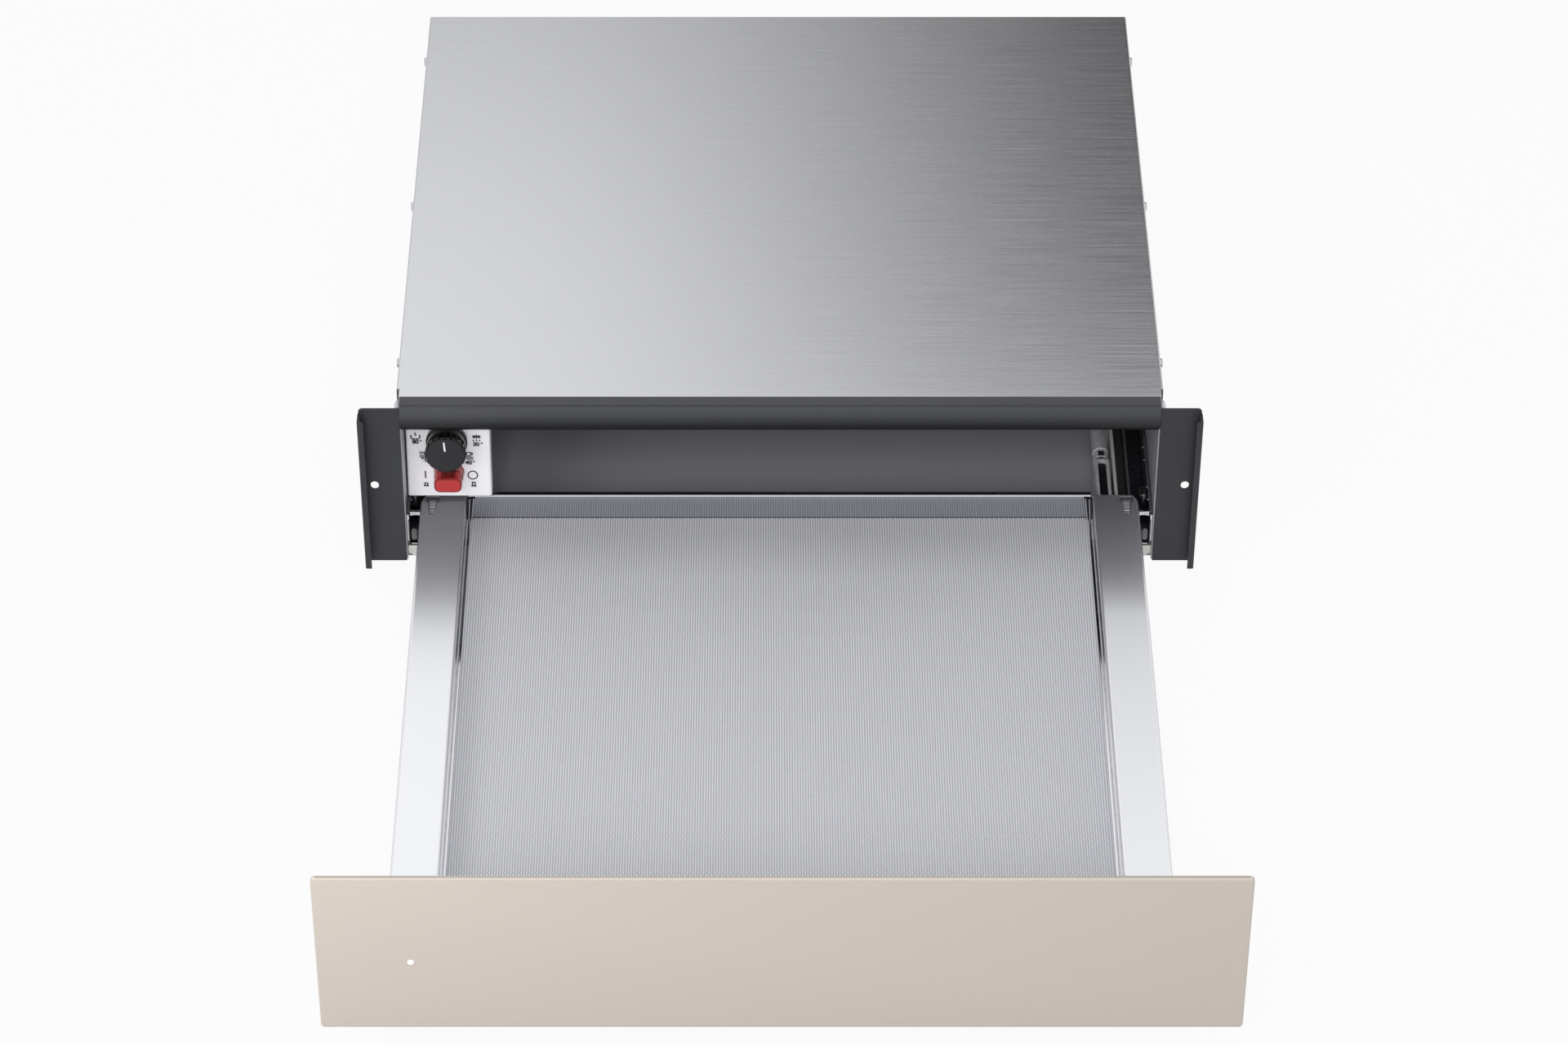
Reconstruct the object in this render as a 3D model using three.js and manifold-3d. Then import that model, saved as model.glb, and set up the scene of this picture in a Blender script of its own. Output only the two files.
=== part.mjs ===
// Built-in warming drawer, shown with its drawer pulled right out.
// Millimetres. X runs to the right, Y into the niche and Z up.
// X = 0 is the middle, Y = 0 the plane where the side flanges meet the furniture,
// and Z = 0 the underside that rests on the niche floor.

import Module from "manifold-3d";
import * as THREE from "three";
import { mergeVertices } from "three/addons/utils/BufferGeometryUtils.js";

const wasm = await Module();
wasm.setup();

// ---------------------------------------------------------------- driving dimensions

// Whole unit
const FRONT_WIDTH = 595; // the glass front, and the two side flanges over all
const UNIT_HEIGHT = 140; // underside to the top edge of the glass
const TRAVEL = 462; // the drawer, from fully open to closed
const GAP = 0.3; // between pieces that touch

// Cabinet
const CABINET_TOP = 138.5; // upper face of the top sheet
const FLANGE_REACH = 26.4; // side flanges beyond the top sheet's side returns
const CABINET_REAR = 493.2; // flange plane to the outer face of the rear panel
const SHEET = 1.2; // steel of the top, base, rear and duct
const SIDE_SHEET = 1.5; // steel of the side panels
const SIDE_INSET = 2.2; // outer face of a side panel behind that of the side return
const RETURN_HEIGHT = 12; // side returns of the top sheet
const TOP_FRONT = 12.5; // front edge of the top sheet
const TOP_NECK = 10; // length of its narrower front part
const SIDE_LEDGE = 10; // inward ledge along the top of a side panel
const BASE_FRONT = 4.7; // front edge of the base pan beside the runners
const BASE_TONGUE = 2; // the base pan in front of the flange plane, between the runners
const VENT_COUNT = 9; // cooling slots on each side of the rear panel
const VENT_PITCH = 9;
const VENT_WIDTH = 3.4;
const VENT_HEIGHT = 26;
const VENT_MIDDLE = 200; // middle of each group from the middle of the unit

// Front rail over the mouth
const RAIL_HEIGHT = 20;
const RAIL_LIP_FRONT = 2.9; // front edge of its flat top lip
const RAIL_BULGE = 3.4; // how far the round face stands in front of that edge
const RAIL_WALL = 2;
const RAIL_DEPTH = 22.6; // rear edge of its lower wall
const RAIL_GROOVE = 0.8; // groove under the top lip

// Side flanges that screw to the furniture
const FLANGE_SHEET = 2;
const FLANGE_OVERLAP = 1.9; // inner edge inside the outer face of the side panel
const FLANGE_TOP = 138.8;
const FLANGE_BOTTOM = 0.6;
const LIP_DEPTH = 9; // outer lip in front of the plate
const LIP_TOP = 133.5;
const HEM_WIDTH = 3.4; // inward hem at the lip's front edge
const HOLE_RADIUS = 2.2;
const HOLE_INSET = 9.3; // screw hole from the outer face of the lip
const WING_LENGTH = 18; // rearward wing that lies on the side panel
const WING_TOP = 124;
const WING_BOTTOM = 6;
const STUD_HEAD_RADIUS = 5.5; // domed screw at the top of each side panel
const STUD_HEAD_HEIGHT = 3.1;
const STUD_HEAD_Y = 9;
const STUD_HEAD_DROP = 6.3; // its centre below the upper face of the top sheet

// Control console, a panel that leans back
const CONSOLE_Y = 17; // front face at the lower edge
const CONSOLE_Z = 45.4; // lower edge
const CONSOLE_LEAN = 5; // degrees
const CONSOLE_INSET = 1; // left edge from the side panel
const CONSOLE_WIDTH = 60.2;
const CONSOLE_HEIGHT = 87;
const CONSOLE_SHEET = 1.5;
const CONSOLE_RETURN = 12;
const CONSOLE_CORNER = 1.6;
const BOX_DEPTH = 72; // box behind the panel
const BOX_LIFT = 11.5; // its floor above the panel's lower edge
const DIAL_RIGHT = 29.3; // centre of the temperature knob from the left edge
const DIAL_UP = 47.9; // up the panel
const KNOB_RADIUS = 14;
const KNOB_LENGTH = 20; // front face in front of the panel
const KNOB_SKIRT_RADIUS = 14.9;
const KNOB_SKIRT = 3.4;
const KNOB_EDGE = 0.8;
const KNOB_FLUTES = 24;
const FLUTE_DEPTH = 0.9;
const FLUTE_SHARE = 0.62; // of the pitch
const KNOB_STAND_OFF = 1;
const KNOB_CROWN = 6; // face to the end of the shaft socket
const SHAFT_RADIUS = 3;
const SHAFT_REACH = 12; // behind the panel
const BUSH_RADIUS = 4.8;
const THERMOSTAT_WIDTH = 36;
const THERMOSTAT_DEPTH = 30;
const THERMOSTAT_HEIGHT = 30;
const BUTTON_RIGHT = 30; // centre of the power button from the left edge
const BUTTON_UP = 20.5;
const BUTTON_HALF_WIDTH = 9.35;
const BUTTON_HALF_HEIGHT = 5.4;
const BUTTON_LENGTH = 18; // front face in front of the panel
const BUTTON_TRAVEL = 3.5;
const BUTTON_TAIL = 2; // behind the front face of the panel
const SLEEVE_WALL = 0.9;
const SLEEVE_LENGTH = 7;
const SLEEVE_TAIL = 3;
const SWITCH_WIDTH = 22;
const SWITCH_DEPTH = 24;
const SWITCH_HEIGHT = 15;

// Air duct, fan and heating ring at the rear, above the closed drawer
const DUCT_DEPTH = 60;
const DUCT_BOTTOM = 46;
const FAN_RADIUS = 31;
const FAN_DEPTH = 16;
const FAN_BLADES = 11;
const BLADE_INNER = 18;
const BLADE_SHEET = 1.2;
const FAN_STAND_OFF = 8; // wheel behind the duct's front
const FAN_SHAFT_RADIUS = 2.5;
const FAN_HUB_RADIUS = 6;
const INTAKE_SLOTS = 14;
const INTAKE_INNER = 9;
const INTAKE_OUTER = 27;
const INTAKE_WIDTH = 3;
const OUTLET_SLOTS = 7;
const OUTLET_PITCH = 12;
const OUTLET_WIDTH = 4;
const OUTLET_HEIGHT = 54;
const OUTLET_MIDDLE = 205;
const BRACKET_HALF = 64; // half-width of the fan bracket
const MOTOR_RADIUS = 21;
const MOTOR_CORE = 46;
const MOTOR_DEPTH = 22;
const MOTOR_CORE_DEPTH = 12;
const SHAFT_GRIP = 6; // motor behind the end of the fan shaft
const HUB_LENGTH = 9;
const HUB_REAR = 1; // hub behind the wheel's plate
const HEATER_RADIUS = 38;
const HEATER_TUBE = 3.2;
const HEATER_OPEN = 32; // degrees between its two ends
const HEATER_TAIL = 12; // ends behind the front of the bracket
const HEATER_PLAY = 0.8;
const CUTOUT_RADIUS = 8.5;
const CUTOUT_DEPTH = 7;
const CUTOUT_SIDE = 13; // from the side of the bracket
const CUTOUT_DROP = 16; // from its top
const CUTOUT_EAR = 11;
const CUTOUT_EAR_HALF = 4;
const TERMINAL_WIDTH = 44;
const TERMINAL_HEIGHT = 20;
const TERMINAL_DEPTH = 18;
const TERMINAL_X = -120;
const TERMINAL_PITCH = 13;
const TERMINAL_WAY = 3;
const TERMINAL_WAY_DEPTH = 8;
const GLAND_RADIUS = 9;
const GLAND_BORE = 3.7;
const GLAND_LENGTH = 15;
const GLAND_DROP = 22; // below the upper face of the top sheet
const GLAND_STEP = 2.5; // nut round the neck
const GLAND_NUT = 6;
const GLAND_DOME = 5;

// Runners
const SIDE_GAP = 10.4; // side panel to the drawer's side profile
const RUNNER_SHEET = 1.5;
const RUNNER_BOTTOM = 7;
const RUNNER_TOP = 30;
const RUNNER_WEB = 14.5; // fixed rail's web from the outer face of the side profile
const RUNNER_LIP = 4; // lower lip of the fixed rail
const RUNNER_HEM = 0.5; // thickened upper edge of the fixed rail
const MIDDLE_INNER_TOP = 18; // shorter inner leg of the middle rail
const RUNNER_PLAY = 0.6; // between the members
const RUNNER_FOOT = 13;
const RUNNER_FRONT = 4;
const RUNNER_REAR = 8; // fixed rail ends this far from the rear panel
const MIDDLE_LENGTH = 460;
const DRAWER_RAIL_INSET = 8; // its rear end from that of the side profile
const BRACKET_TOP = 40.5; // side brackets that carry the fixed rails
const BRACKET_SHEET = 1.5;
const STUD_RADIUS = 2.4; // guide studs
const STUD_Y = 8;
const STUD_HIGH = 36.9;
const STUD_LOW = 8.2;
const STUD_PLAY = 0.7;
const DAMPER_RADIUS = 5.7;
const DAMPER_LENGTH = 140;
const DAMPER_FRONT = 86;
const TRACK_FRONT = 20; // catch track in front of the damper
const TRACK_SLOT = 4;
const TRACK_SLOT_FRONT = 4;
const TRACK_SLOT_REAR = 12;
const TRACK_SLOT_DEPTH = 16;
const DAMPER_WINDOW = 8;
const DAMPER_GAP = 1.4; // to the fixed rail
const SADDLE_FRONT = 10;
const SADDLE_LENGTH = 20;
const SADDLE_HALF = 3;

// Drawer
const PROFILE_WIDTH = 31.13; // side profile
const PROFILE_TOP = 40;
const PROFILE_BOTTOM = 8;
const PROFILE_SHEET = 0.8;
const PROFILE_REAR = 23.4; // rear end when open
const PROFILE_ROUND = 1.6;
const PROFILE_CORNER_WIDTH = 5.2; // cut-off outer rear corner
const PROFILE_CORNER_LENGTH = 11;
const PROFILE_FOOT = 12;
const STRIP_WIDTH = 1.72; // black strip beside the tray
const STRIP_TOP = 20.2;
const MARGIN = 2.25; // bare tray beside the mat
const MAT_TOP = 20;
const MAT_SHEET = 1.8;
const TRAY_SHEET = 0.9;
const TRAY_FRONT_HEIGHT = 38;
const REAR_LEAN = 12; // degrees, rear wall of the tray
const REAR_RIM = 2;
const REAR_CLEARANCE = 1.1; // closed tray to the rear panel
const CLIP_REAR_WIDTH = 7; // catch in the rear end of each side profile
const CLIP_FRONT_WIDTH = 3.6;
const CLIP_LENGTH = 15.7;
const CLIP_REAR = 6.2; // from the profile's rear end
const CLIP_INSET = 8.2; // its middle from the profile's outer face
const CLIP_DEPTH = 8.6;
const GLASS_BOTTOM = 8;
const GLASS_SHEET = 4;
const GLASS_CORNER = 3;
const GLASS_CHAMFER = 1.2;
const FRONT_GAP = 4; // closed glass in front of the flange lips
const CARRIER_SHEET = 1.2;
const CARRIER_MARGIN = 35.5; // its ends from the ends of the glass
const CARRIER_BOTTOM = 14;
const CARRIER_TOP = 126;
const CARRIER_FOLD = 7;
const LENS_RADIUS = 2.6;
const LENS_DOME = 1;
const LENS_LENGTH = 14; // from the front face of the glass
const LENS_Z = 66.7;
const BRACE_LENGTH = 17; // bracket between the carrier and a side profile
const STRIKER_HALF = 8;
const STRIKER_LENGTH = 22;
const STRIKER_BOTTOM = 4;
const STRIKER_SHEET = 2;

// Push latch under the rear of the drawer
const LATCH_HALF = 14;
const LATCH_TOP = 13.5;
const LATCH_LENGTH = 34;
const PLUNGER_RADIUS = 3.2;
const PLUNGER_HEAD_RADIUS = 4.4;
const PLUNGER_HEAD = 3;
const PLUNGER_Z = 7.8;
const PLUNGER_TRAVEL = 4;
const PLUNGER_GRIP = 19; // length inside the housing
const LATCH_REAR = 3; // housing from the rear panel

// ---------------------------------------------------------------- worked out from them

const outerHalf = FRONT_WIDTH / 2;
const cabinetHalf = outerHalf - FLANGE_REACH;
const sideOuter = cabinetHalf - SIDE_INSET;
const sideInner = sideOuter - SIDE_SHEET;
const flangeInner = sideOuter - FLANGE_OVERLAP;
const consoleLeft = -sideInner + CONSOLE_INSET;
const consoleRight = consoleLeft + CONSOLE_WIDTH;
const dialX = consoleLeft + DIAL_RIGHT;
const buttonX = consoleLeft + BUTTON_RIGHT;
const carrierHalf = outerHalf - CARRIER_MARGIN;
const sheetUnder = CABINET_TOP - SHEET;
const sideTop = sheetUnder - GAP;
const rearInner = CABINET_REAR - SHEET;
const lipFront = -FLANGE_SHEET - LIP_DEPTH;
const profileOuter = sideInner - SIDE_GAP;
const profileInner = profileOuter - PROFILE_WIDTH;
const trayHalf = profileInner - STRIP_WIDTH;
const matHalf = trayHalf - MARGIN;
const trayTop = MAT_TOP - MAT_SHEET - GAP;
const trayUnder = trayTop - TRAY_SHEET;
const glassRear = lipFront - FRONT_GAP - TRAVEL;
const glassFront = glassRear - GLASS_SHEET;
const carrierRear = glassRear + GAP + CARRIER_SHEET;
const drawerFront = carrierRear + GAP;
const rimRear = rearInner - REAR_CLEARANCE - TRAVEL;
const leanTan = Math.tan(THREE.MathUtils.degToRad(REAR_LEAN));
const ductFront = rearInner - DUCT_DEPTH;
const ductTop = sideTop - SIDE_SHEET - GAP;
const fanZ = (DUCT_BOTTOM + CABINET_TOP) / 2 - 1;
const fanFront = ductFront + SHEET + FAN_STAND_OFF;
const bracketFront = fanFront + FAN_DEPTH + 3;
const webOuter = profileOuter - RUNNER_WEB + RUNNER_SHEET;
const webInner = webOuter - RUNNER_SHEET;
const runnerRear = rearInner - RUNNER_REAR;
const flangeZ = SHEET + GAP; // underside of the runner bracket
const latchRear = rearInner - LATCH_REAR;
const latchFront = latchRear - LATCH_LENGTH;
const plungerTip = latchFront - PLUNGER_TRAVEL - PLUNGER_HEAD - 3;

// ---------------------------------------------------------------- shapes

// A closed geometry as a solid that can be cut and joined.
function solidOf(geometry) {
  const bare = geometry.index ? geometry.toNonIndexed() : geometry.clone();
  bare.deleteAttribute("normal");
  bare.deleteAttribute("uv");
  const merged = mergeVertices(bare, 1e-4);
  const triVerts = new Uint32Array(merged.index.array);
  const vertProperties = merged.attributes.position.array;
  return new wasm.Manifold(new wasm.Mesh({ numProp: 3, vertProperties, triVerts }));
}

function geometryOf(made) {
  const mesh = made.getMesh();
  const positions = new Float32Array(mesh.numVert * 3);
  for (let i = 0; i < mesh.numVert; i++) {
    const start = i * mesh.numProp;
    positions.set(mesh.vertProperties.subarray(start, start + 3), i * 3);
  }
  const geometry = new THREE.BufferGeometry();
  geometry.setAttribute("position", new THREE.BufferAttribute(positions, 3));
  geometry.setIndex(new THREE.BufferAttribute(mesh.triVerts, 1));
  const flat = geometry.toNonIndexed();
  flat.computeVertexNormals();
  return flat;
}

function block([x0, x1], [y0, y1], [z0, z1]) {
  const box = new THREE.BoxGeometry(x1 - x0, y1 - y0, z1 - z0);
  return solidOf(box.translate((x0 + x1) / 2, (y0 + y1) / 2, (z0 + z1) / 2));
}

// The plane a section is drawn in, by the axis it is drawn along: first and second drawing
// direction, then the direction of the extrusion.
const SECTION_AXES = {
  x: [new THREE.Vector3(0, 1, 0), new THREE.Vector3(0, 0, 1), new THREE.Vector3(1, 0, 0)],
  y: [new THREE.Vector3(1, 0, 0), new THREE.Vector3(0, 0, 1), new THREE.Vector3(0, -1, 0)],
  z: [new THREE.Vector3(1, 0, 0), new THREE.Vector3(0, 1, 0), new THREE.Vector3(0, 0, 1)],
};

// A section swept straight along one axis. On "y" it is drawn in X and Z.
function sweep(shape, axis, from, to, segments = 12) {
  const options = { depth: to - from, bevelEnabled: false, curveSegments: segments };
  const geometry = new THREE.ExtrudeGeometry(shape, options);
  geometry.applyMatrix4(new THREE.Matrix4().makeBasis(...SECTION_AXES[axis]));
  const start = { x: [from, 0, 0], y: [0, to, 0], z: [0, 0, from] }[axis];
  return solidOf(geometry.translate(...start));
}

function outline(points) {
  return new THREE.Shape(points.map(([u, v]) => new THREE.Vector2(u, v)));
}

function disc(u, v, radius) {
  return new THREE.Shape().absarc(u, v, radius, 0, 2 * Math.PI, false);
}

function rod(axis, [from, to], [u, v], radius, segments = 24) {
  return sweep(disc(u, v, radius), axis, from, to, segments);
}

// A flat-sided oval with its long side level.
function oval(u, v, halfWidth, halfHeight) {
  const straight = halfWidth - halfHeight;
  const shape = new THREE.Shape();
  shape.absarc(u + straight, v, halfHeight, -Math.PI / 2, Math.PI / 2, false);
  shape.absarc(u - straight, v, halfHeight, Math.PI / 2, (3 * Math.PI) / 2, false);
  return shape;
}

function roundedRectangle([u0, u1], [v0, v1], radius) {
  const shape = new THREE.Shape();
  shape.absarc(u1 - radius, v0 + radius, radius, -Math.PI / 2, 0, false);
  shape.absarc(u1 - radius, v1 - radius, radius, 0, Math.PI / 2, false);
  shape.absarc(u0 + radius, v1 - radius, radius, Math.PI / 2, Math.PI, false);
  shape.absarc(u0 + radius, v0 + radius, radius, Math.PI, (3 * Math.PI) / 2, false);
  return shape;
}

// A profile of [radius, height] points turned about Y, from the lowest point up.
function turned(profile, segments = 32) {
  const points = profile.map(([radius, height]) => new THREE.Vector2(radius, height));
  return solidOf(new THREE.LatheGeometry(points, segments));
}

const union = (...solids) => solids.reduce((sum, next) => sum.add(next));
const cut = (body, ...tools) => tools.reduce((rest, tool) => rest.subtract(tool), body);

// ---------------------------------------------------------------- finishes

const finish = (color, metalness, roughness, more = {}) =>
  new THREE.MeshStandardMaterial({ color, metalness, roughness, ...more });

const brushedSteel = () => finish(0xb9babf, 1, 0.38);
const polishedSteel = () => finish(0xd2d3d6, 1, 0.12);
const graphitePaint = () => finish(0x3c3d41, 0.35, 0.55);
const zincSteel = () => finish(0x8d8e90, 0.9, 0.45);
const blackPaint = () => finish(0x17181a, 0.2, 0.5);
const whitePanel = () => finish(0xe3e4e8, 0.2, 0.45);
const blackPlastic = () => finish(0x232427, 0, 0.4);
const greyPlastic = () => finish(0x77787c, 0, 0.5);
const redPlastic = () => finish(0xb5262a, 0, 0.25);
const blackRubber = () => finish(0x101113, 0, 0.8);
const greySilicone = () => finish(0x909296, 0, 0.75);
const beigeGlass = () => finish(0xc9beb2, 0.1, 0.35);
const clearLens = () => finish(0xefe8de, 0, 0.1, { transparent: true, opacity: 0.7 });
const chrome = () => finish(0xd8d9dc, 1, 0.08);
const aluminium = () => finish(0xa9abae, 1, 0.4);
const creamPlastic = () => finish(0xd9d5c8, 0, 0.5);

// ---------------------------------------------------------------- assembly

const unit = new THREE.Group();
const consoleFrame = new THREE.Group(); // the leaning panel's own frame, Y into the cabinet
consoleFrame.position.set(0, CONSOLE_Y, CONSOLE_Z);
consoleFrame.rotation.x = -THREE.MathUtils.degToRad(CONSOLE_LEAN);
unit.add(consoleFrame);

function add(name, made, material, frame = unit) {
  const mesh = new THREE.Mesh(geometryOf(made), material);
  mesh.name = name;
  frame.add(mesh);
}

const SIDES = [["left", -1], ["right", 1]];
const mirrored = (made, side) => (side < 0 ? made.mirror([1, 0, 0]) : made);

// ---------------------------------------------------------------- cabinet

// Brushed top sheet: its sides turn down, and its front part is narrower and has no returns.
function topSheet() {
  const plan = new THREE.Shape();
  const neck = TOP_FRONT + TOP_NECK;
  plan.moveTo(-sideOuter, TOP_FRONT);
  plan.lineTo(sideOuter, TOP_FRONT);
  plan.lineTo(sideOuter, neck);
  plan.lineTo(cabinetHalf, neck);
  plan.lineTo(cabinetHalf, CABINET_REAR);
  plan.lineTo(-cabinetHalf, CABINET_REAR);
  plan.lineTo(-cabinetHalf, neck);
  plan.lineTo(-sideOuter, neck);
  const flat = sweep(plan, "z", sheetUnder, CABINET_TOP);
  const drop = [CABINET_TOP - RETURN_HEIGHT, CABINET_TOP];
  const right = block([cabinetHalf - SHEET, cabinetHalf], [neck, CABINET_REAR], drop);
  return union(flat, right, right.mirror([1, 0, 0]));
}

// Floor of the cabinet. Between the runners it comes forward of the flange plane.
function basePan() {
  const half = sideInner - GAP;
  const tongue = profileInner;
  const plan = outline([
    [-half, BASE_FRONT],
    [-tongue, BASE_FRONT],
    [-tongue, -BASE_TONGUE],
    [tongue, -BASE_TONGUE],
    [tongue, BASE_FRONT],
    [half, BASE_FRONT],
    [half, rearInner - GAP],
    [-half, rearInner - GAP],
  ]);
  return sweep(plan, "z", 0, SHEET);
}

function sidePanel() {
  const section = outline([
    [sideInner, 0],
    [sideOuter, 0],
    [sideOuter, sideTop],
    [sideInner - SIDE_LEDGE, sideTop],
    [sideInner - SIDE_LEDGE, sideTop - SIDE_SHEET],
    [sideInner, sideTop - SIDE_SHEET],
  ]);
  const panel = sweep(section, "y", GAP, rearInner - GAP);
  const railRelief = [GAP - 1, RAIL_DEPTH + 2 * GAP + SHEET];
  const ledge = block([0, sideInner], railRelief, [sideTop - SIDE_SHEET - 1, sideTop + 1]);
  return cut(panel, ledge);
}

function ventSlots() {
  const middle = (DUCT_BOTTOM + CABINET_TOP) / 2;
  const heights = [middle - VENT_HEIGHT / 2, middle + VENT_HEIGHT / 2];
  const depth = [rearInner - 1, CABINET_REAR + 1];
  const slots = [];
  for (let i = 0; i < VENT_COUNT; i++) {
    const x = VENT_MIDDLE + (i - (VENT_COUNT - 1) / 2) * VENT_PITCH;
    const slot = block([x - VENT_WIDTH / 2, x + VENT_WIDTH / 2], depth, heights);
    slots.push(slot, slot.mirror([1, 0, 0]));
  }
  return slots;
}

const glandZ = CABINET_TOP - GLAND_DROP;
const glandNeck = GLAND_RADIUS - GLAND_STEP;

function rearPanel() {
  const sheet = block([-sideOuter, sideOuter], [rearInner, CABINET_REAR], [0, sideTop]);
  const outlet = rod("y", [rearInner - 1, CABINET_REAR + 1], [TERMINAL_X, glandZ], glandNeck + GAP);
  return cut(sheet, ...ventSlots(), outlet);
}

// Round-faced rail that closes the mouth at the top, with a flat lip over it.
function frontRail() {
  const lipTop = CABINET_TOP - 0.1;
  const bottom = lipTop - RAIL_HEIGHT;
  const seat = sheetUnder - GAP;
  const shape = new THREE.Shape();
  const face = RAIL_LIP_FRONT;
  const roundTop = lipTop - RAIL_WALL;
  const reach = 2 * RAIL_BULGE; // a quadratic curve goes half-way to its control point
  shape.moveTo(RAIL_DEPTH, seat);
  shape.lineTo(TOP_FRONT - GAP, seat);
  shape.lineTo(TOP_FRONT - GAP, lipTop);
  shape.lineTo(face, lipTop);
  shape.lineTo(face, lipTop - RAIL_GROOVE);
  shape.lineTo(face + RAIL_GROOVE, roundTop + RAIL_GROOVE / 2);
  shape.lineTo(face, roundTop);
  shape.quadraticCurveTo(face - reach, (roundTop + bottom) / 2, face, bottom);
  shape.lineTo(RAIL_DEPTH, bottom);
  shape.lineTo(RAIL_DEPTH, bottom + RAIL_WALL);
  const inner = face + RAIL_WALL;
  shape.lineTo(inner, bottom + RAIL_WALL);
  const innerTop = seat - RAIL_WALL;
  shape.quadraticCurveTo(inner - reach + 1, (innerTop + bottom + RAIL_WALL) / 2, inner, innerTop);
  shape.lineTo(RAIL_DEPTH, innerTop);
  const half = Math.min(sideInner, flangeInner) - GAP;
  return sweep(shape, "x", -half, half, 10);
}

// Flange plate with its forward lip, the lip's hem and the wing on the side panel.
function flange() {
  const plateHeight = [FLANGE_BOTTOM, FLANGE_TOP];
  const lipHeight = [FLANGE_BOTTOM - GAP, LIP_TOP];
  const lipInner = outerHalf - FLANGE_SHEET;
  const plate = block([flangeInner, lipInner + 0.5], [-FLANGE_SHEET, 0], plateHeight);
  const lip = block([lipInner, outerHalf], [lipFront, 0], lipHeight);
  const hem = block([outerHalf - HEM_WIDTH, outerHalf], [lipFront, lipFront + FLANGE_SHEET], lipHeight);
  const wingInner = sideOuter + GAP;
  const wingReach = [-FLANGE_SHEET / 2, WING_LENGTH];
  const wing = block([wingInner, wingInner + SIDE_SHEET], wingReach, [WING_BOTTOM, WING_TOP]);
  const centre = [outerHalf - HOLE_INSET, UNIT_HEIGHT / 2];
  const hole = rod("y", [-FLANGE_SHEET - 1, 1], centre, HOLE_RADIUS, 20);
  return cut(union(plate, lip, hem, wing), hole);
}

// Domed screw head on the outside of a side panel.
function sideScrew() {
  const arc = [[0, 0], [STUD_HEAD_RADIUS, 0]];
  for (let step = 1; step <= 5; step++) {
    const angle = (step / 5) * (Math.PI / 2);
    arc.push([STUD_HEAD_RADIUS * Math.cos(angle), STUD_HEAD_HEIGHT * Math.sin(angle)]);
  }
  arc[arc.length - 1][0] = 0;
  const z = CABINET_TOP - STUD_HEAD_DROP;
  return turned(arc, 20).rotate([0, 0, -90]).translate([sideOuter + GAP, STUD_HEAD_Y, z]);
}

add("top_sheet", topSheet(), brushedSteel());
add("base_pan", basePan(), graphitePaint());
add("rear_panel", rearPanel(), zincSteel());
add("front_rail", frontRail(), graphitePaint());
for (const [name, side] of SIDES) {
  add(`side_panel_${name}`, mirrored(sidePanel(), side), zincSteel());
  add(`flange_${name}`, mirrored(flange(), side), graphitePaint());
  add(`side_screw_${name}`, mirrored(sideScrew(), side), chrome());
}

// ---------------------------------------------------------------- control console

const sleeveHalfWidth = BUTTON_HALF_WIDTH + GAP + SLEEVE_WALL;
const sleeveHalfHeight = BUTTON_HALF_HEIGHT + GAP + SLEEVE_WALL;

function controlPanel() {
  const wide = [consoleLeft, consoleRight];
  const tall = [0, CONSOLE_HEIGHT];
  const face = sweep(roundedRectangle(wide, tall, CONSOLE_CORNER), "y", 0, CONSOLE_SHEET, 4);
  const returnHeight = [CONSOLE_CORNER, CONSOLE_HEIGHT - CONSOLE_CORNER];
  const depth = [CONSOLE_SHEET / 2, CONSOLE_RETURN];
  const left = block([consoleLeft, consoleLeft + CONSOLE_SHEET], depth, returnHeight);
  const right = block([consoleRight - CONSOLE_SHEET, consoleRight], depth, returnHeight);
  const through = [-1, CONSOLE_SHEET + 1];
  const bush = rod("y", through, [dialX, DIAL_UP], BUSH_RADIUS + GAP);
  const mouth = oval(buttonX, BUTTON_UP, sleeveHalfWidth + GAP, sleeveHalfHeight + GAP);
  return cut(union(face, left, right), bush, sweep(mouth, "y", ...through));
}

// Box that keeps the wiring away from the drawer: floor, right wall and rear wall.
function controlBox() {
  const left = consoleLeft + CONSOLE_SHEET + GAP;
  const right = consoleRight - CONSOLE_SHEET - GAP;
  const front = CONSOLE_SHEET + GAP;
  const top = CONSOLE_HEIGHT - 2;
  const shell = block([left, right], [front, front + BOX_DEPTH], [BOX_LIFT, top]);
  const inside = [front - 1, front + BOX_DEPTH - SHEET];
  return cut(shell, block([left - 1, right - SHEET], inside, [BOX_LIFT + SHEET, top + 1]));
}

function thermostat() {
  const front = CONSOLE_SHEET + GAP;
  const wide = [dialX - THERMOSTAT_WIDTH / 2, dialX + THERMOSTAT_WIDTH / 2];
  const tall = [DIAL_UP - THERMOSTAT_HEIGHT / 2, DIAL_UP + THERMOSTAT_HEIGHT / 2];
  const body = block(wide, [front, front + THERMOSTAT_DEPTH], tall);
  const bush = rod("y", [-KNOB_STAND_OFF + GAP, front + 1], [dialX, DIAL_UP], BUSH_RADIUS);
  const bore = rod("y", [-5, SHAFT_REACH + 1], [dialX, DIAL_UP], SHAFT_RADIUS + GAP);
  return cut(union(body, bush), bore);
}

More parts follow.
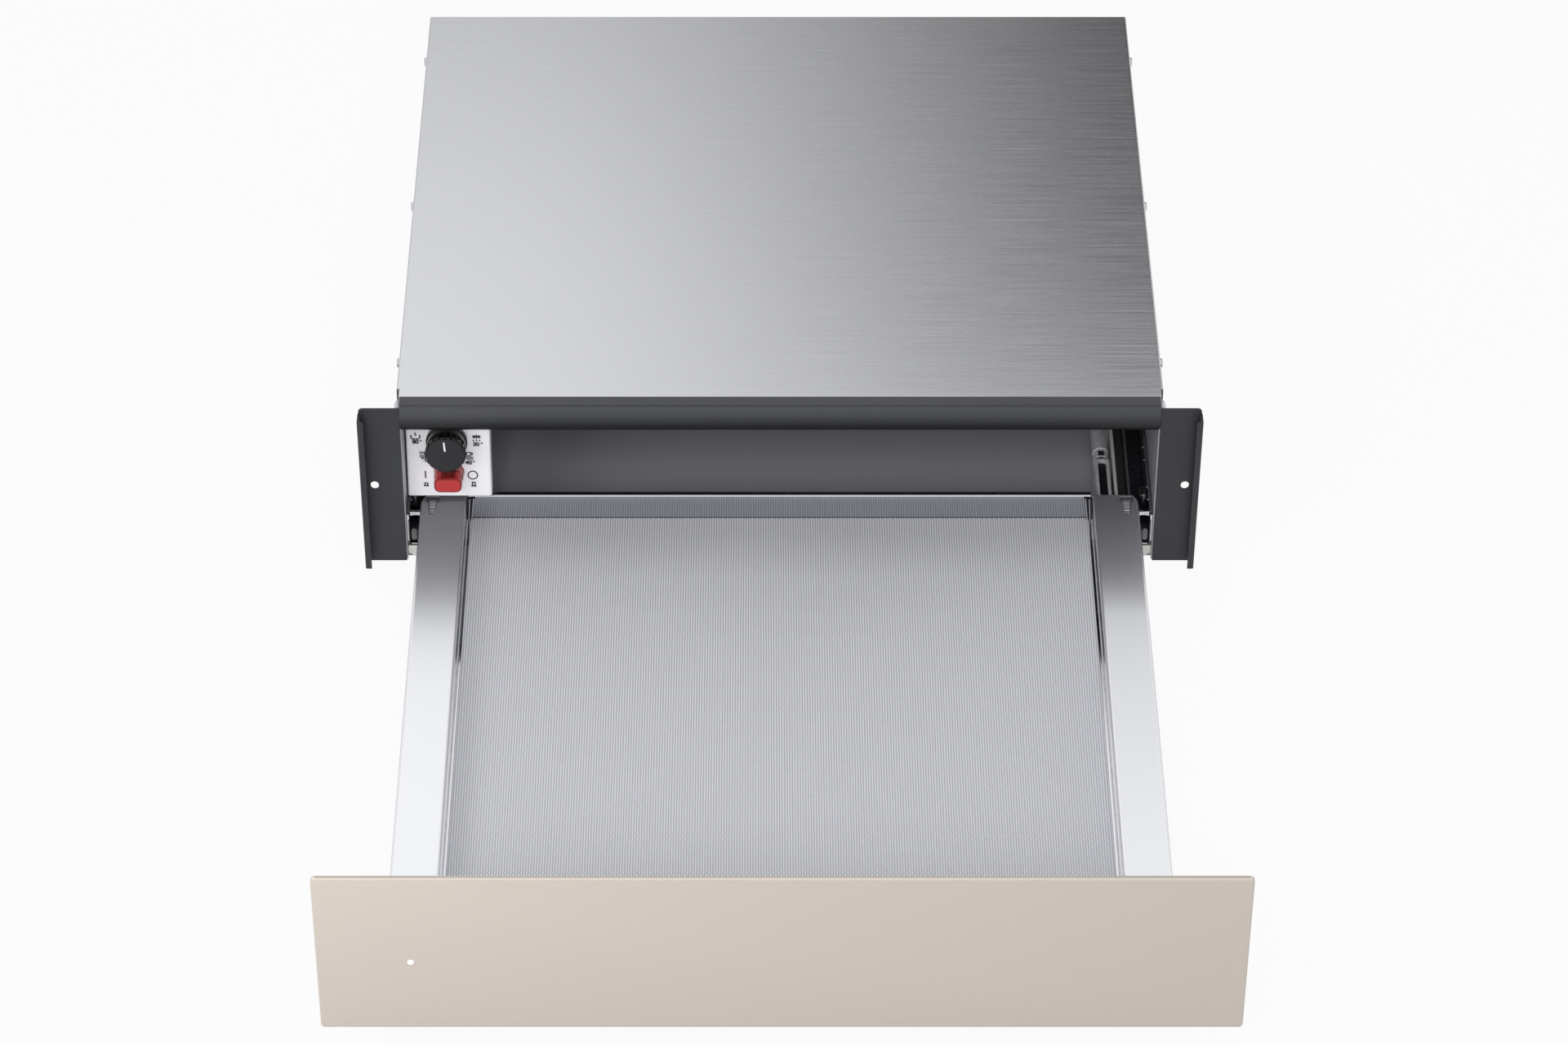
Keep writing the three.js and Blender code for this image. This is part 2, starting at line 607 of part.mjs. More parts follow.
// Temperature knob: a fluted barrel with a flat face, a skirt at the panel and a shaft socket.
function knob() {
  const foot = -KNOB_STAND_OFF;
  const face = -KNOB_LENGTH;
  const barrel = turned([
    [0, face],
    [KNOB_RADIUS - KNOB_EDGE, face],
    [KNOB_RADIUS, face + KNOB_EDGE],
    [KNOB_RADIUS, foot - KNOB_SKIRT - KNOB_EDGE],
    [KNOB_SKIRT_RADIUS, foot - KNOB_SKIRT],
    [KNOB_SKIRT_RADIUS, foot],
    [0, foot],
  ], 72);
  const width = ((2 * Math.PI * KNOB_RADIUS) / KNOB_FLUTES) * FLUTE_SHARE;
  const long = [face + 3 * KNOB_EDGE, foot - KNOB_SKIRT - 2 * KNOB_EDGE];
  const flute = block([-width / 2, width / 2], long, [KNOB_RADIUS - FLUTE_DEPTH, KNOB_RADIUS + 2]);
  const flutes = [];
  for (let i = 0; i < KNOB_FLUTES; i++) {
    flutes.push(flute.rotate([0, (360 * i) / KNOB_FLUTES, 0]));
  }
  const socket = rod("y", [KNOB_CROWN - KNOB_LENGTH, 1], [0, 0], SHAFT_RADIUS + GAP);
  return cut(barrel, ...flutes, socket).translate([dialX, 0, DIAL_UP]);
}

function powerButton() {
  const shape = oval(buttonX, BUTTON_UP, BUTTON_HALF_WIDTH, BUTTON_HALF_HEIGHT);
  return sweep(shape, "y", -BUTTON_LENGTH, BUTTON_TAIL, 10);
}

function buttonSleeve() {
  const outer = oval(buttonX, BUTTON_UP, sleeveHalfWidth, sleeveHalfHeight);
  const inner = oval(buttonX, BUTTON_UP, BUTTON_HALF_WIDTH + GAP, BUTTON_HALF_HEIGHT + GAP);
  const body = sweep(outer, "y", -SLEEVE_LENGTH, SLEEVE_TAIL, 10);
  return cut(body, sweep(inner, "y", -SLEEVE_LENGTH - 1, SLEEVE_TAIL + 1, 10));
}

function powerSwitch() {
  const front = SLEEVE_TAIL + GAP;
  const wide = [buttonX - SWITCH_WIDTH / 2, buttonX + SWITCH_WIDTH / 2];
  const tall = [BUTTON_UP - SWITCH_HEIGHT / 2, BUTTON_UP + SWITCH_HEIGHT / 2];
  const body = block(wide, [front, front + SWITCH_DEPTH], tall);
  const pocket = oval(buttonX, BUTTON_UP, BUTTON_HALF_WIDTH + GAP, BUTTON_HALF_HEIGHT + GAP);
  return cut(body, sweep(pocket, "y", front - 1, BUTTON_TAIL + BUTTON_TRAVEL + 2 * GAP, 10));
}

const shaftLong = [KNOB_CROWN + GAP - KNOB_LENGTH, SHAFT_REACH];
const knobShaft = rod("y", shaftLong, [dialX, DIAL_UP], SHAFT_RADIUS);
add("control_panel", controlPanel(), whitePanel(), consoleFrame);
add("control_box", controlBox(), zincSteel(), consoleFrame);
add("thermostat", thermostat(), zincSteel(), consoleFrame);
add("temperature_knob", knob(), blackPlastic(), consoleFrame);
add("knob_shaft", knobShaft, aluminium(), consoleFrame);
add("power_button", powerButton(), redPlastic(), consoleFrame);
add("button_sleeve", buttonSleeve(), redPlastic(), consoleFrame);
add("power_switch", powerSwitch(), creamPlastic(), consoleFrame);

// ---------------------------------------------------------------- air duct, fan and heater

// Front and floor of the duct: air is drawn in at the middle and leaves at both sides.
function airDuct() {
  const wide = [-sideInner + GAP, sideInner - GAP];
  const front = block(wide, [ductFront, ductFront + SHEET], [DUCT_BOTTOM, ductTop]);
  const floor = block(wide, [ductFront, rearInner - GAP], [DUCT_BOTTOM, DUCT_BOTTOM + SHEET]);
  const through = [ductFront - 1, ductFront + SHEET + 1];
  const half = INTAKE_WIDTH / 2;
  const ray = block([-half, half], through, [INTAKE_INNER, INTAKE_OUTER]);
  const slots = [];
  for (let i = 0; i < INTAKE_SLOTS; i++) {
    slots.push(ray.rotate([0, (360 * i) / INTAKE_SLOTS, 0]).translate([0, 0, fanZ]));
  }
  const heights = [fanZ - OUTLET_HEIGHT / 2, fanZ + OUTLET_HEIGHT / 2];
  for (let i = 0; i < OUTLET_SLOTS; i++) {
    const x = OUTLET_MIDDLE + (i - (OUTLET_SLOTS - 1) / 2) * OUTLET_PITCH;
    const slot = block([x - OUTLET_WIDTH / 2, x + OUTLET_WIDTH / 2], through, heights);
    slots.push(slot, slot.mirror([1, 0, 0]));
  }
  return cut(union(front, floor), ...slots);
}

function fanBracket() {
  const tall = [DUCT_BOTTOM + SHEET + GAP, ductTop];
  const plate = block([-BRACKET_HALF, BRACKET_HALF], [bracketFront, bracketFront + SHEET], tall);
  const leg = block([BRACKET_HALF - SHEET, BRACKET_HALF], [bracketFront, rearInner - GAP], tall);
  const through = [bracketFront - 1, bracketFront + SHEET + 1];
  const shaftHole = rod("y", through, [0, fanZ], FAN_SHAFT_RADIUS + 2);
  const ends = [1, -1].map((side) => {
    const [x, z] = heaterPoint(side * heaterEnd);
    return rod("y", through, [x, z], HEATER_TUBE + HEATER_PLAY);
  });
  return cut(union(plate, leg, leg.mirror([1, 0, 0])), shaftHole, ...ends);
}

function fanWheel() {
  const rear = fanFront + FAN_DEPTH;
  const plate = rod("y", [rear - BLADE_SHEET, rear], [0, 0], FAN_RADIUS, 36);
  const hub = rod("y", [rear + HUB_REAR - HUB_LENGTH, rear + HUB_REAR], [0, 0], FAN_HUB_RADIUS);
  const depth = [fanFront, rear - BLADE_SHEET / 2];
  const blade = block([-BLADE_SHEET / 2, BLADE_SHEET / 2], depth, [BLADE_INNER, FAN_RADIUS - 0.5]);
  const blades = [];
  for (let i = 0; i < FAN_BLADES; i++) {
    blades.push(blade.rotate([0, (360 * i) / FAN_BLADES, 0]));
  }
  const bore = rod("y", [fanFront, rear + 2 * HUB_REAR], [0, 0], FAN_SHAFT_RADIUS + GAP);
  return cut(union(plate, hub, ...blades), bore).translate([0, 0, fanZ]);
}

const motorFront = bracketFront + SHEET + GAP;
const shaftRear = motorFront + MOTOR_DEPTH - SHAFT_GRIP;

function fanMotor() {
  const centre = [0, fanZ];
  const half = MOTOR_CORE / 2;
  const long = [motorFront, motorFront + MOTOR_CORE_DEPTH];
  const core = block([-half, half], long, [fanZ - half, fanZ + half]);
  const can = rod("y", [motorFront, motorFront + MOTOR_DEPTH], centre, MOTOR_RADIUS, 32);
  const bore = rod("y", [motorFront - 1, shaftRear + 1], centre, FAN_SHAFT_RADIUS + GAP);
  return cut(union(core, can), bore);
}

// The ring starts and ends at the bottom, where both ends turn back through the bracket.
const heaterEnd = THREE.MathUtils.degToRad(180 - HEATER_OPEN / 2);

function heaterPoint(angle) {
  return [HEATER_RADIUS * Math.sin(angle), fanZ + HEATER_RADIUS * Math.cos(angle)];
}

function heatingRing() {
  const y = fanFront + FAN_DEPTH / 2;
  const rear = bracketFront + HEATER_TAIL;
  const section = disc(0, 0, HEATER_TUBE);
  const ringSteps = 28;
  const bend = 2 * HEATER_TUBE;
  const endPoints = (side) => {
    const [x, z] = heaterPoint(side * heaterEnd);
    return [new THREE.Vector3(x, rear, z), new THREE.Vector3(x, y + bend, z)];
  };
  const points = endPoints(-1);
  const sweepAngle = heaterEnd - bend / HEATER_RADIUS;
  for (let i = 0; i <= ringSteps; i++) {
    const [x, z] = heaterPoint(sweepAngle * ((2 * i) / ringSteps - 1));
    points.push(new THREE.Vector3(x, y, z));
  }
  points.push(...endPoints(1).reverse());
  const path = new THREE.CatmullRomCurve3(points, false, "centripetal");
  const options = { steps: 76, extrudePath: path, bevelEnabled: false, curveSegments: 10 };
  return solidOf(new THREE.ExtrudeGeometry(section, options));
}

function thermalCutout() {
  const rear = bracketFront - GAP;
  const [x, z] = [BRACKET_HALF - CUTOUT_SIDE, ductTop - CUTOUT_DROP];
  const can = rod("y", [rear - CUTOUT_DEPTH, rear], [x, z], CUTOUT_RADIUS);
  const wide = [x - CUTOUT_EAR, x + CUTOUT_EAR];
  const ears = block(wide, [rear - SHEET, rear], [z - CUTOUT_EAR_HALF, z + CUTOUT_EAR_HALF]);
  return union(can, ears);
}

function terminalBlock() {
  const rear = rearInner - GAP;
  const front = rear - TERMINAL_DEPTH;
  const middle = DUCT_BOTTOM + SHEET + TERMINAL_HEIGHT;
  const half = TERMINAL_WIDTH / 2;
  const heights = [middle - TERMINAL_HEIGHT / 2, middle + TERMINAL_HEIGHT / 2];
  const body = block([TERMINAL_X - half, TERMINAL_X + half], [front, rear], heights);
  const deep = [front - 1, front + TERMINAL_WAY_DEPTH];
  const ways = [-1, 0, 1].map((i) =>
    rod("y", deep, [TERMINAL_X + i * TERMINAL_PITCH, middle], TERMINAL_WAY, 16),
  );
  return cut(body, ...ways);
}

// Cord gland: domed nut outside, neck through the rear panel and a flange nut inside.
function cordGland() {
  const inside = SHEET + GAP; // from the outer face of the rear panel
  const neck = glandNeck;
  const profile = turned([
    [GLAND_BORE, -inside - GLAND_NUT],
    [GLAND_RADIUS, -inside - GLAND_NUT],
    [GLAND_RADIUS, -inside],
    [neck, -inside],
    [neck, GAP],
    [GLAND_RADIUS, GAP],
    [GLAND_RADIUS, GLAND_LENGTH - GLAND_DOME],
    [(GLAND_RADIUS + GLAND_BORE) / 2, GLAND_LENGTH],
    [GLAND_BORE, GLAND_LENGTH],
    [GLAND_BORE, -inside - GLAND_NUT],
  ], 24);
  return profile.translate([TERMINAL_X, CABINET_REAR, glandZ]);
}

const fanShaftFront = fanFront + FAN_DEPTH + HUB_REAR - HUB_LENGTH;
add("air_duct", airDuct(), graphitePaint());
add("fan_bracket", fanBracket(), zincSteel());
add("fan_wheel", fanWheel(), aluminium());
add("fan_shaft", rod("y", [fanShaftFront, shaftRear], [0, fanZ], FAN_SHAFT_RADIUS), chrome());
add("fan_motor", fanMotor(), blackPaint());
add("heating_ring", heatingRing(), graphitePaint());
add("thermal_cutout", thermalCutout(), aluminium());
add("terminal_block", terminalBlock(), creamPlastic());
add("cord_gland", cordGland(), blackPlastic());

// ---------------------------------------------------------------- runners

// Upright strip of the fixed rail with its foot, a lower lip for the middle rail and a thick edge.
function fixedRail() {
  const long = [RUNNER_FRONT, runnerRear];
  const foot = flangeZ + BRACKET_SHEET + GAP;
  const section = outline([
    [webOuter - RUNNER_FOOT, foot],
    [webOuter, foot],
    [webOuter, RUNNER_BOTTOM],
    [webOuter + RUNNER_LIP, RUNNER_BOTTOM],
    [webOuter + RUNNER_LIP, RUNNER_BOTTOM + RUNNER_SHEET],
    [webOuter, RUNNER_BOTTOM + RUNNER_SHEET],
    [webOuter, RUNNER_TOP - RUNNER_SHEET],
    [webOuter + RUNNER_HEM, RUNNER_TOP - RUNNER_SHEET],
    [webOuter + RUNNER_HEM, RUNNER_TOP],
    [webInner, RUNNER_TOP],
    [webInner, foot + RUNNER_SHEET],
    [webOuter - RUNNER_FOOT, foot + RUNNER_SHEET],
  ]);
  return sweep(section, "y", ...long);
}

const middleBottom = RUNNER_BOTTOM + RUNNER_SHEET + RUNNER_PLAY;
const middleTop = RUNNER_TOP - RUNNER_SHEET - RUNNER_PLAY;
const drawerWebOuter = profileOuter - PROFILE_SHEET - GAP;
const drawerWebInner = drawerWebOuter - RUNNER_SHEET;

// The member between the other two, half-way out: a trough with a tall outer leg.
function middleRail() {
  const inner = webOuter + RUNNER_HEM + RUNNER_PLAY;
  const outer = drawerWebInner - RUNNER_PLAY;
  const section = outline([
    [inner, middleBottom],
    [outer, middleBottom],
    [outer, middleTop],
    [outer - RUNNER_SHEET, middleTop],
    [outer - RUNNER_SHEET, middleBottom + RUNNER_SHEET],
    [inner + RUNNER_SHEET, middleBottom + RUNNER_SHEET],
    [inner + RUNNER_SHEET, MIDDLE_INNER_TOP],
    [inner, MIDDLE_INNER_TOP],
  ]);
  const start = RUNNER_FRONT - TRAVEL / 2;
  return sweep(section, "y", start, start + MIDDLE_LENGTH);
}

// Channel under the side profile, with lips over and under the middle rail.
function drawerRail() {
  const lip = webOuter + RUNNER_LIP + RUNNER_PLAY;
  const section = outline([
    [lip, RUNNER_BOTTOM],
    [drawerWebOuter, RUNNER_BOTTOM],
    [drawerWebOuter, RUNNER_TOP],
    [lip, RUNNER_TOP],
    [lip, RUNNER_TOP - RUNNER_SHEET],
    [drawerWebInner, RUNNER_TOP - RUNNER_SHEET],
    [drawerWebInner, RUNNER_BOTTOM + RUNNER_SHEET],
    [lip, RUNNER_BOTTOM + RUNNER_SHEET],
  ]);
  return sweep(section, "y", drawerFront + RUNNER_PLAY + SHEET, PROFILE_REAR - DRAWER_RAIL_INSET);
}

const bracketOuter = sideInner - GAP;
const bracketInner = bracketOuter - BRACKET_SHEET;

// Bracket on the cabinet's floor and side panel that carries the fixed rail.
function runnerBracket() {
  const long = [RUNNER_FRONT - 1, runnerRear];
  const floor = [flangeZ, flangeZ + BRACKET_SHEET];
  const flat = block([webOuter - RUNNER_FOOT, bracketOuter], long, floor);
  const upright = block([bracketInner, bracketOuter], long, [flangeZ, BRACKET_TOP]);
  return union(flat, upright);
}

function guideStud(z) {
  return rod("x", [profileOuter + STUD_PLAY, bracketInner - GAP], [STUD_Y, z], STUD_RADIUS, 16);
}

const damperX = webInner - DAMPER_GAP - DAMPER_RADIUS;
const damperZ = RUNNER_TOP - DAMPER_RADIUS;

function damper() {
  const long = [DAMPER_FRONT, DAMPER_FRONT + DAMPER_LENGTH];
  const tube = rod("y", long, [damperX, damperZ], DAMPER_RADIUS, 24);
  const saddleZ = [flangeZ + BRACKET_SHEET + GAP + RUNNER_SHEET + GAP, damperZ];
  const saddleFront = DAMPER_FRONT + SADDLE_FRONT;
  const saddleWide = [damperX - SADDLE_HALF, damperX + SADDLE_HALF];
  const saddle = block(saddleWide, [saddleFront, saddleFront + SADDLE_LENGTH], saddleZ);
  const half = TRACK_SLOT / 2;
  const mouth = [DAMPER_FRONT - 1, DAMPER_FRONT + DAMPER_WINDOW];
  const notch = block([damperX - half, damperX + half], mouth, [damperZ + 1, RUNNER_TOP + 1]);
  return cut(union(tube, saddle), notch);
}

// Slotted track in which the catch of the self-closing mechanism runs.
function catchTrack() {
  const wide = [damperX - DAMPER_RADIUS, damperX + DAMPER_RADIUS];
  const long = [TRACK_FRONT, DAMPER_FRONT - GAP];
  const low = flangeZ + BRACKET_SHEET + GAP + RUNNER_SHEET + GAP;
  const body = block(wide, long, [low, RUNNER_TOP]);
  const half = TRACK_SLOT / 2;
  const slot = roundedRectangle(
    [damperX - half, damperX + half],
    [TRACK_FRONT + TRACK_SLOT_FRONT, DAMPER_FRONT - TRACK_SLOT_REAR],
    half - 0.05,
  );
  return cut(body, sweep(slot, "z", RUNNER_TOP - TRACK_SLOT_DEPTH, RUNNER_TOP + 1, 6));
}

for (const [name, side] of SIDES) {
  add(`runner_bracket_${name}`, mirrored(runnerBracket(), side), blackPaint());
  add(`fixed_rail_${name}`, mirrored(fixedRail(), side), zincSteel());
  add(`middle_rail_${name}`, mirrored(middleRail(), side), zincSteel());
  add(`drawer_rail_${name}`, mirrored(drawerRail(), side), zincSteel());
  add(`damper_${name}`, mirrored(damper(), side), greyPlastic());
  add(`catch_track_${name}`, mirrored(catchTrack(), side), greyPlastic());
  add(`guide_stud_upper_${name}`, mirrored(guideStud(STUD_HIGH), side), chrome());
  add(`guide_stud_lower_${name}`, mirrored(guideStud(STUD_LOW), side), chrome());
}

// ---------------------------------------------------------------- drawer

const rimFront = rimRear - REAR_RIM;
const rearFoot = rimFront - (PROFILE_TOP - trayTop) * leanTan;

// Tray of one folded sheet: upright front wall, floor, rear wall that leans back, and its rim.
function drawerTray() {
  const section = outline([
    [drawerFront + TRAY_SHEET, TRAY_FRONT_HEIGHT],
    [drawerFront + TRAY_SHEET, trayTop],
    [rearFoot, trayTop],
    [rimFront, PROFILE_TOP],
    [rimRear, PROFILE_TOP],
    [rimRear, PROFILE_TOP - TRAY_SHEET],
    [rimFront + TRAY_SHEET, PROFILE_TOP - TRAY_SHEET],
    [rearFoot + TRAY_SHEET, trayUnder],
    [drawerFront, trayUnder],
    [drawerFront, TRAY_FRONT_HEIGHT],
  ]);
  return sweep(section, "x", -trayHalf, trayHalf);
}

const clipMiddle = profileOuter - CLIP_INSET;
const clipRear = PROFILE_REAR - CLIP_REAR;

// Plan of the catch, narrower towards the front, grown by a margin for the hole around it.
function clipPlan(margin) {
  const rear = CLIP_REAR_WIDTH / 2 + margin;
  const front = CLIP_FRONT_WIDTH / 2 + margin;
  return outline([
    [clipMiddle - front, clipRear - CLIP_LENGTH - margin],
    [clipMiddle + front, clipRear - CLIP_LENGTH - margin],
    [clipMiddle + rear, clipRear + margin],
    [clipMiddle - rear, clipRear + margin],
  ]);
}

// Hollow side of the drawer: inner wall, top and outer wall round the runner, and an inward foot
// that carries the tray.
function sideProfile() {
  const section = new THREE.Shape();
  const round = PROFILE_ROUND;
  const inner = profileInner + PROFILE_SHEET;
  const outer = profileOuter - PROFILE_SHEET;
  const footTop = trayUnder - GAP;
  section.moveTo(profileOuter, PROFILE_BOTTOM);
  section.absarc(profileOuter - round, PROFILE_TOP - round, round, 0, Math.PI / 2, false);
  section.absarc(profileInner + round, PROFILE_TOP - round, round, Math.PI / 2, Math.PI, false);
  section.lineTo(profileInner, footTop);
  section.lineTo(profileInner - PROFILE_FOOT, footTop);
  section.lineTo(profileInner - PROFILE_FOOT, footTop - PROFILE_SHEET);
  section.lineTo(inner, footTop - PROFILE_SHEET);
  section.lineTo(inner, PROFILE_TOP - round);
  section.lineTo(inner + round / 2, PROFILE_TOP - PROFILE_SHEET);
  section.lineTo(outer - round / 2, PROFILE_TOP - PROFILE_SHEET);
  section.lineTo(outer, PROFILE_TOP - round);
  section.lineTo(outer, PROFILE_BOTTOM);
  const profile = sweep(section, "y", drawerFront, PROFILE_REAR, 5);
  const corner = outline([
    [profileOuter - PROFILE_CORNER_WIDTH, PROFILE_REAR + 1],
    [profileOuter - PROFILE_CORNER_WIDTH, PROFILE_REAR],
    [profileOuter, PROFILE_REAR - PROFILE_CORNER_LENGTH],
    [profileOuter + 1, PROFILE_REAR - PROFILE_CORNER_LENGTH],
    [profileOuter + 1, PROFILE_REAR + 1],
  ]);
  const hole = sweep(clipPlan(GAP), "z", PROFILE_TOP - 3, PROFILE_TOP + 1);
  return cut(profile, sweep(corner, "z", -1, PROFILE_TOP + 1), hole);
}

// Spring catch let into the top of the side profile, with a raised bar across it.
function rearClip() {
  const body = sweep(clipPlan(0), "z", PROFILE_TOP - CLIP_DEPTH, PROFILE_TOP - 1.2);
  const bar = block(
    [clipMiddle - 2.2, clipMiddle + 2.2],
    [clipRear - CLIP_LENGTH * 0.66, clipRear - CLIP_LENGTH * 0.5],
    [PROFILE_TOP - 2, PROFILE_TOP - 0.4],
  );
  return union(body, bar);
}

function sealStrip() {
  const wide = [trayHalf + GAP / 2, profileInner - GAP / 2];
  return block(wide, [drawerFront + 1, rearFoot], [trayUnder, STRIP_TOP]);
}

function mat() {
  const long = [drawerFront + TRAY_SHEET + 1, rearFoot - GAP / 2];
  return block([-matHalf, matHalf], long, [trayTop + GAP, MAT_TOP]);
}

// Back-painted glass with ground edges and a hole for the light guide.
function glassFrontPane() {
  const c = GLASS_CHAMFER;
  const wide = [-outerHalf + c, outerHalf - c];
  const tall = [GLASS_BOTTOM + c, UNIT_HEIGHT - c];
  const shape = roundedRectangle(wide, tall, GLASS_CORNER - c);
  const bevel = { bevelEnabled: true, bevelSize: c, bevelThickness: c, bevelSegments: 1 };
  const options = { depth: GLASS_SHEET - 2 * c, curveSegments: 5, ...bevel };
  const pane = new THREE.ExtrudeGeometry(shape, options).rotateX(Math.PI / 2);
  pane.translate(0, glassRear - c, 0);
  const hole = rod("y", [glassFront - 1, glassRear + 1], [dialX, LENS_Z], LENS_RADIUS + GAP, 20);
  return cut(solidOf(pane), hole);
}

function frontCarrier() {
  const wide = [-carrierHalf, carrierHalf];
  const face = [carrierRear - CARRIER_SHEET, carrierRear];
  const plate = block(wide, face, [CARRIER_BOTTOM, CARRIER_TOP]);
  const fold = [face[0], carrierRear + CARRIER_FOLD];
  const upper = block(wide, fold, [CARRIER_TOP - CARRIER_SHEET, CARRIER_TOP]);
  const hole = rod("y", [face[0] - 1, carrierRear + 1], [dialX, LENS_Z], LENS_RADIUS + GAP, 20);
  return cut(union(plate, upper), hole);
}

// Light guide that shows the lit power button through the closed front.
function indicatorLens() {
  const dome = [[0, -LENS_DOME], [LENS_RADIUS * 0.7, -LENS_DOME * 0.7], [LENS_RADIUS, 0]];
  const profile = turned([...dome, [LENS_RADIUS, LENS_LENGTH], [0, LENS_LENGTH]], 20);
  return profile.translate([dialX, glassFront, LENS_Z]);
}

// Angle that screws a side profile to the carrier.
function frontBrace() {
  const inner = profileInner + PROFILE_SHEET + GAP;
  const low = trayTop;
  const high = PROFILE_TOP - PROFILE_SHEET - 2;
  const leg = block([inner, inner + SHEET], [drawerFront, drawerFront + BRACE_LENGTH], [low, high]);
  const foot = block([inner, profileOuter - 4], [drawerFront, drawerFront + SHEET], [low, high]);
  return union(leg, foot);
}

const strikerRear = plungerTip - 2 * GAP - TRAVEL;

function latchStriker() {
  const wide = [-STRIKER_HALF, STRIKER_HALF];
  const top = trayUnder - GAP;
  const flat = block(wide, [strikerRear - STRIKER_LENGTH, strikerRear], [top - STRIKER_SHEET, top]);
  const tongue = block(wide, [strikerRear - STRIKER_SHEET, strikerRear], [STRIKER_BOTTOM, top]);
  return union(flat, tongue);
}

function latchHousing() {
  const wide = [-LATCH_HALF, LATCH_HALF];
  const body = block(wide, [latchFront, latchRear], [SHEET + GAP, LATCH_TOP]);
  const bore = [latchFront - 1, latchFront + PLUNGER_GRIP + PLUNGER_TRAVEL + 1];
  return cut(body, rod("y", bore, [0, PLUNGER_Z], PLUNGER_RADIUS + GAP));
}

function latchPlunger() {
  const centre = [0, PLUNGER_Z];
  const pin = rod("y", [plungerTip, latchFront + PLUNGER_GRIP], centre, PLUNGER_RADIUS);
  const head = rod("y", [plungerTip, plungerTip + PLUNGER_HEAD], centre, PLUNGER_HEAD_RADIUS);
  return union(pin, head);
}

add("drawer_tray", drawerTray(), polishedSteel());
add("anti_slip_mat", mat(), greySilicone());
add("glass_front", glassFrontPane(), beigeGlass());
add("front_carrier", frontCarrier(), zincSteel());
add("indicator_lens", indicatorLens(), clearLens());
add("latch_striker", latchStriker(), zincSteel());
add("latch_housing", latchHousing(), blackPlastic());
add("latch_plunger", latchPlunger(), greyPlastic());
for (const [name, side] of SIDES) {
  add(`side_profile_${name}`, mirrored(sideProfile(), side), polishedSteel());
  add(`seal_strip_${name}`, mirrored(sealStrip(), side), blackRubber());
  add(`rear_clip_${name}`, mirrored(rearClip(), side), greyPlastic());
  add(`front_brace_${name}`, mirrored(frontBrace(), side), zincSteel());
}

export default unit;
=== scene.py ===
import math

import bmesh
import bpy
from mathutils import Matrix, Vector


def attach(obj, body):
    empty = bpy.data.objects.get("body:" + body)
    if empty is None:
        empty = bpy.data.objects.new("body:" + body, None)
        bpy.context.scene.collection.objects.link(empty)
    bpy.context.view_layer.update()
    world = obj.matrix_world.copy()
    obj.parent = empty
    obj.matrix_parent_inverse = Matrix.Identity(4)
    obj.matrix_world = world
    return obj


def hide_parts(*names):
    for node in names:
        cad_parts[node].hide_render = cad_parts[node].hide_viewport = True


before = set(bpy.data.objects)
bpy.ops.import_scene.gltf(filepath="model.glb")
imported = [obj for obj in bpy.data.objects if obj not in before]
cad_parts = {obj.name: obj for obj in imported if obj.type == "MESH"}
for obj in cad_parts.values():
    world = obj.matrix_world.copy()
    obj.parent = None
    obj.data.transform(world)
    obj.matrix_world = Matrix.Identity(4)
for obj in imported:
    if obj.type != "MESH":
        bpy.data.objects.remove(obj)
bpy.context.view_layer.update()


# Camera, floor and studio light.
# The camera stands 2.8 m in front of the cabinet and 2.3 m up, and looks down at 39.5 degrees. Three
# large soft lamps give an even white light, and two small ones the glass corner and the panel.

def linear(red, green, blue):
    """A colour written in 0 to 255 as the shader's linear values."""
    return tuple(((c / 255 + 0.055) / 1.055) ** 2.4 if c > 10 else c / 3294 for c in (red, green, blue))


def add(tree, kind, inputs, **settings):
    """Adds a shader node with its settings. Each input gets a link or a fixed value."""
    node = tree.nodes.new("ShaderNode" + kind)
    for name, value in settings.items():
        setattr(node, name, value)
    for name, value in inputs.items():
        if isinstance(value, bpy.types.NodeSocket):
            tree.links.new(value, node.inputs[name])
        else:
            node.inputs[name].default_value = value
    return node


def finish(name, colour, roughness, metallic=0.0, **sockets):
    """A new material with one shader, and the sockets that are the same all over the surface."""
    material = bpy.data.materials.new(name)
    material.use_nodes = True
    shader = material.node_tree.nodes["Principled BSDF"]
    shader.inputs["Base Color"].default_value = (*colour, 1)
    shader.inputs["Roughness"].default_value = roughness
    shader.inputs["Metallic"].default_value = metallic
    for socket, value in sockets.items():
        shader.inputs[socket.replace("_", " ")].default_value = value
    return material


def empty_material(name):
    """A new material without any nodes."""
    material = bpy.data.materials.new(name)
    material.use_nodes = True
    material.node_tree.nodes.clear()
    return material


def seen_directly(tree):
    """1 where the camera sees the surface itself, in a mirror or through something clear, else 0."""
    ray = add(tree, "LightPath", {}).outputs
    mirrored = add(tree, "Math", {0: ray["Is Camera Ray"], 1: ray["Is Glossy Ray"]}, operation="MAXIMUM")
    either = add(tree, "Math", {0: mirrored.outputs[0], 1: ray["Is Transmission Ray"]}, operation="MAXIMUM")
    return either.outputs[0]


def own_place(tree):
    """The place of a point in the piece's own metres, by its three axes."""
    return add(tree, "SeparateXYZ", {0: add(tree, "TexCoord", {}).outputs["Object"]}).outputs


def ramp(tree, value, low, high, start, end):
    """A soft change from the start to the end value, while the given value goes from low to high."""
    limits = {"Value": value, "From Min": low, "From Max": high, "To Min": start, "To Max": end}
    return add(tree, "MapRange", limits, interpolation_type="SMOOTHSTEP").outputs["Result"]


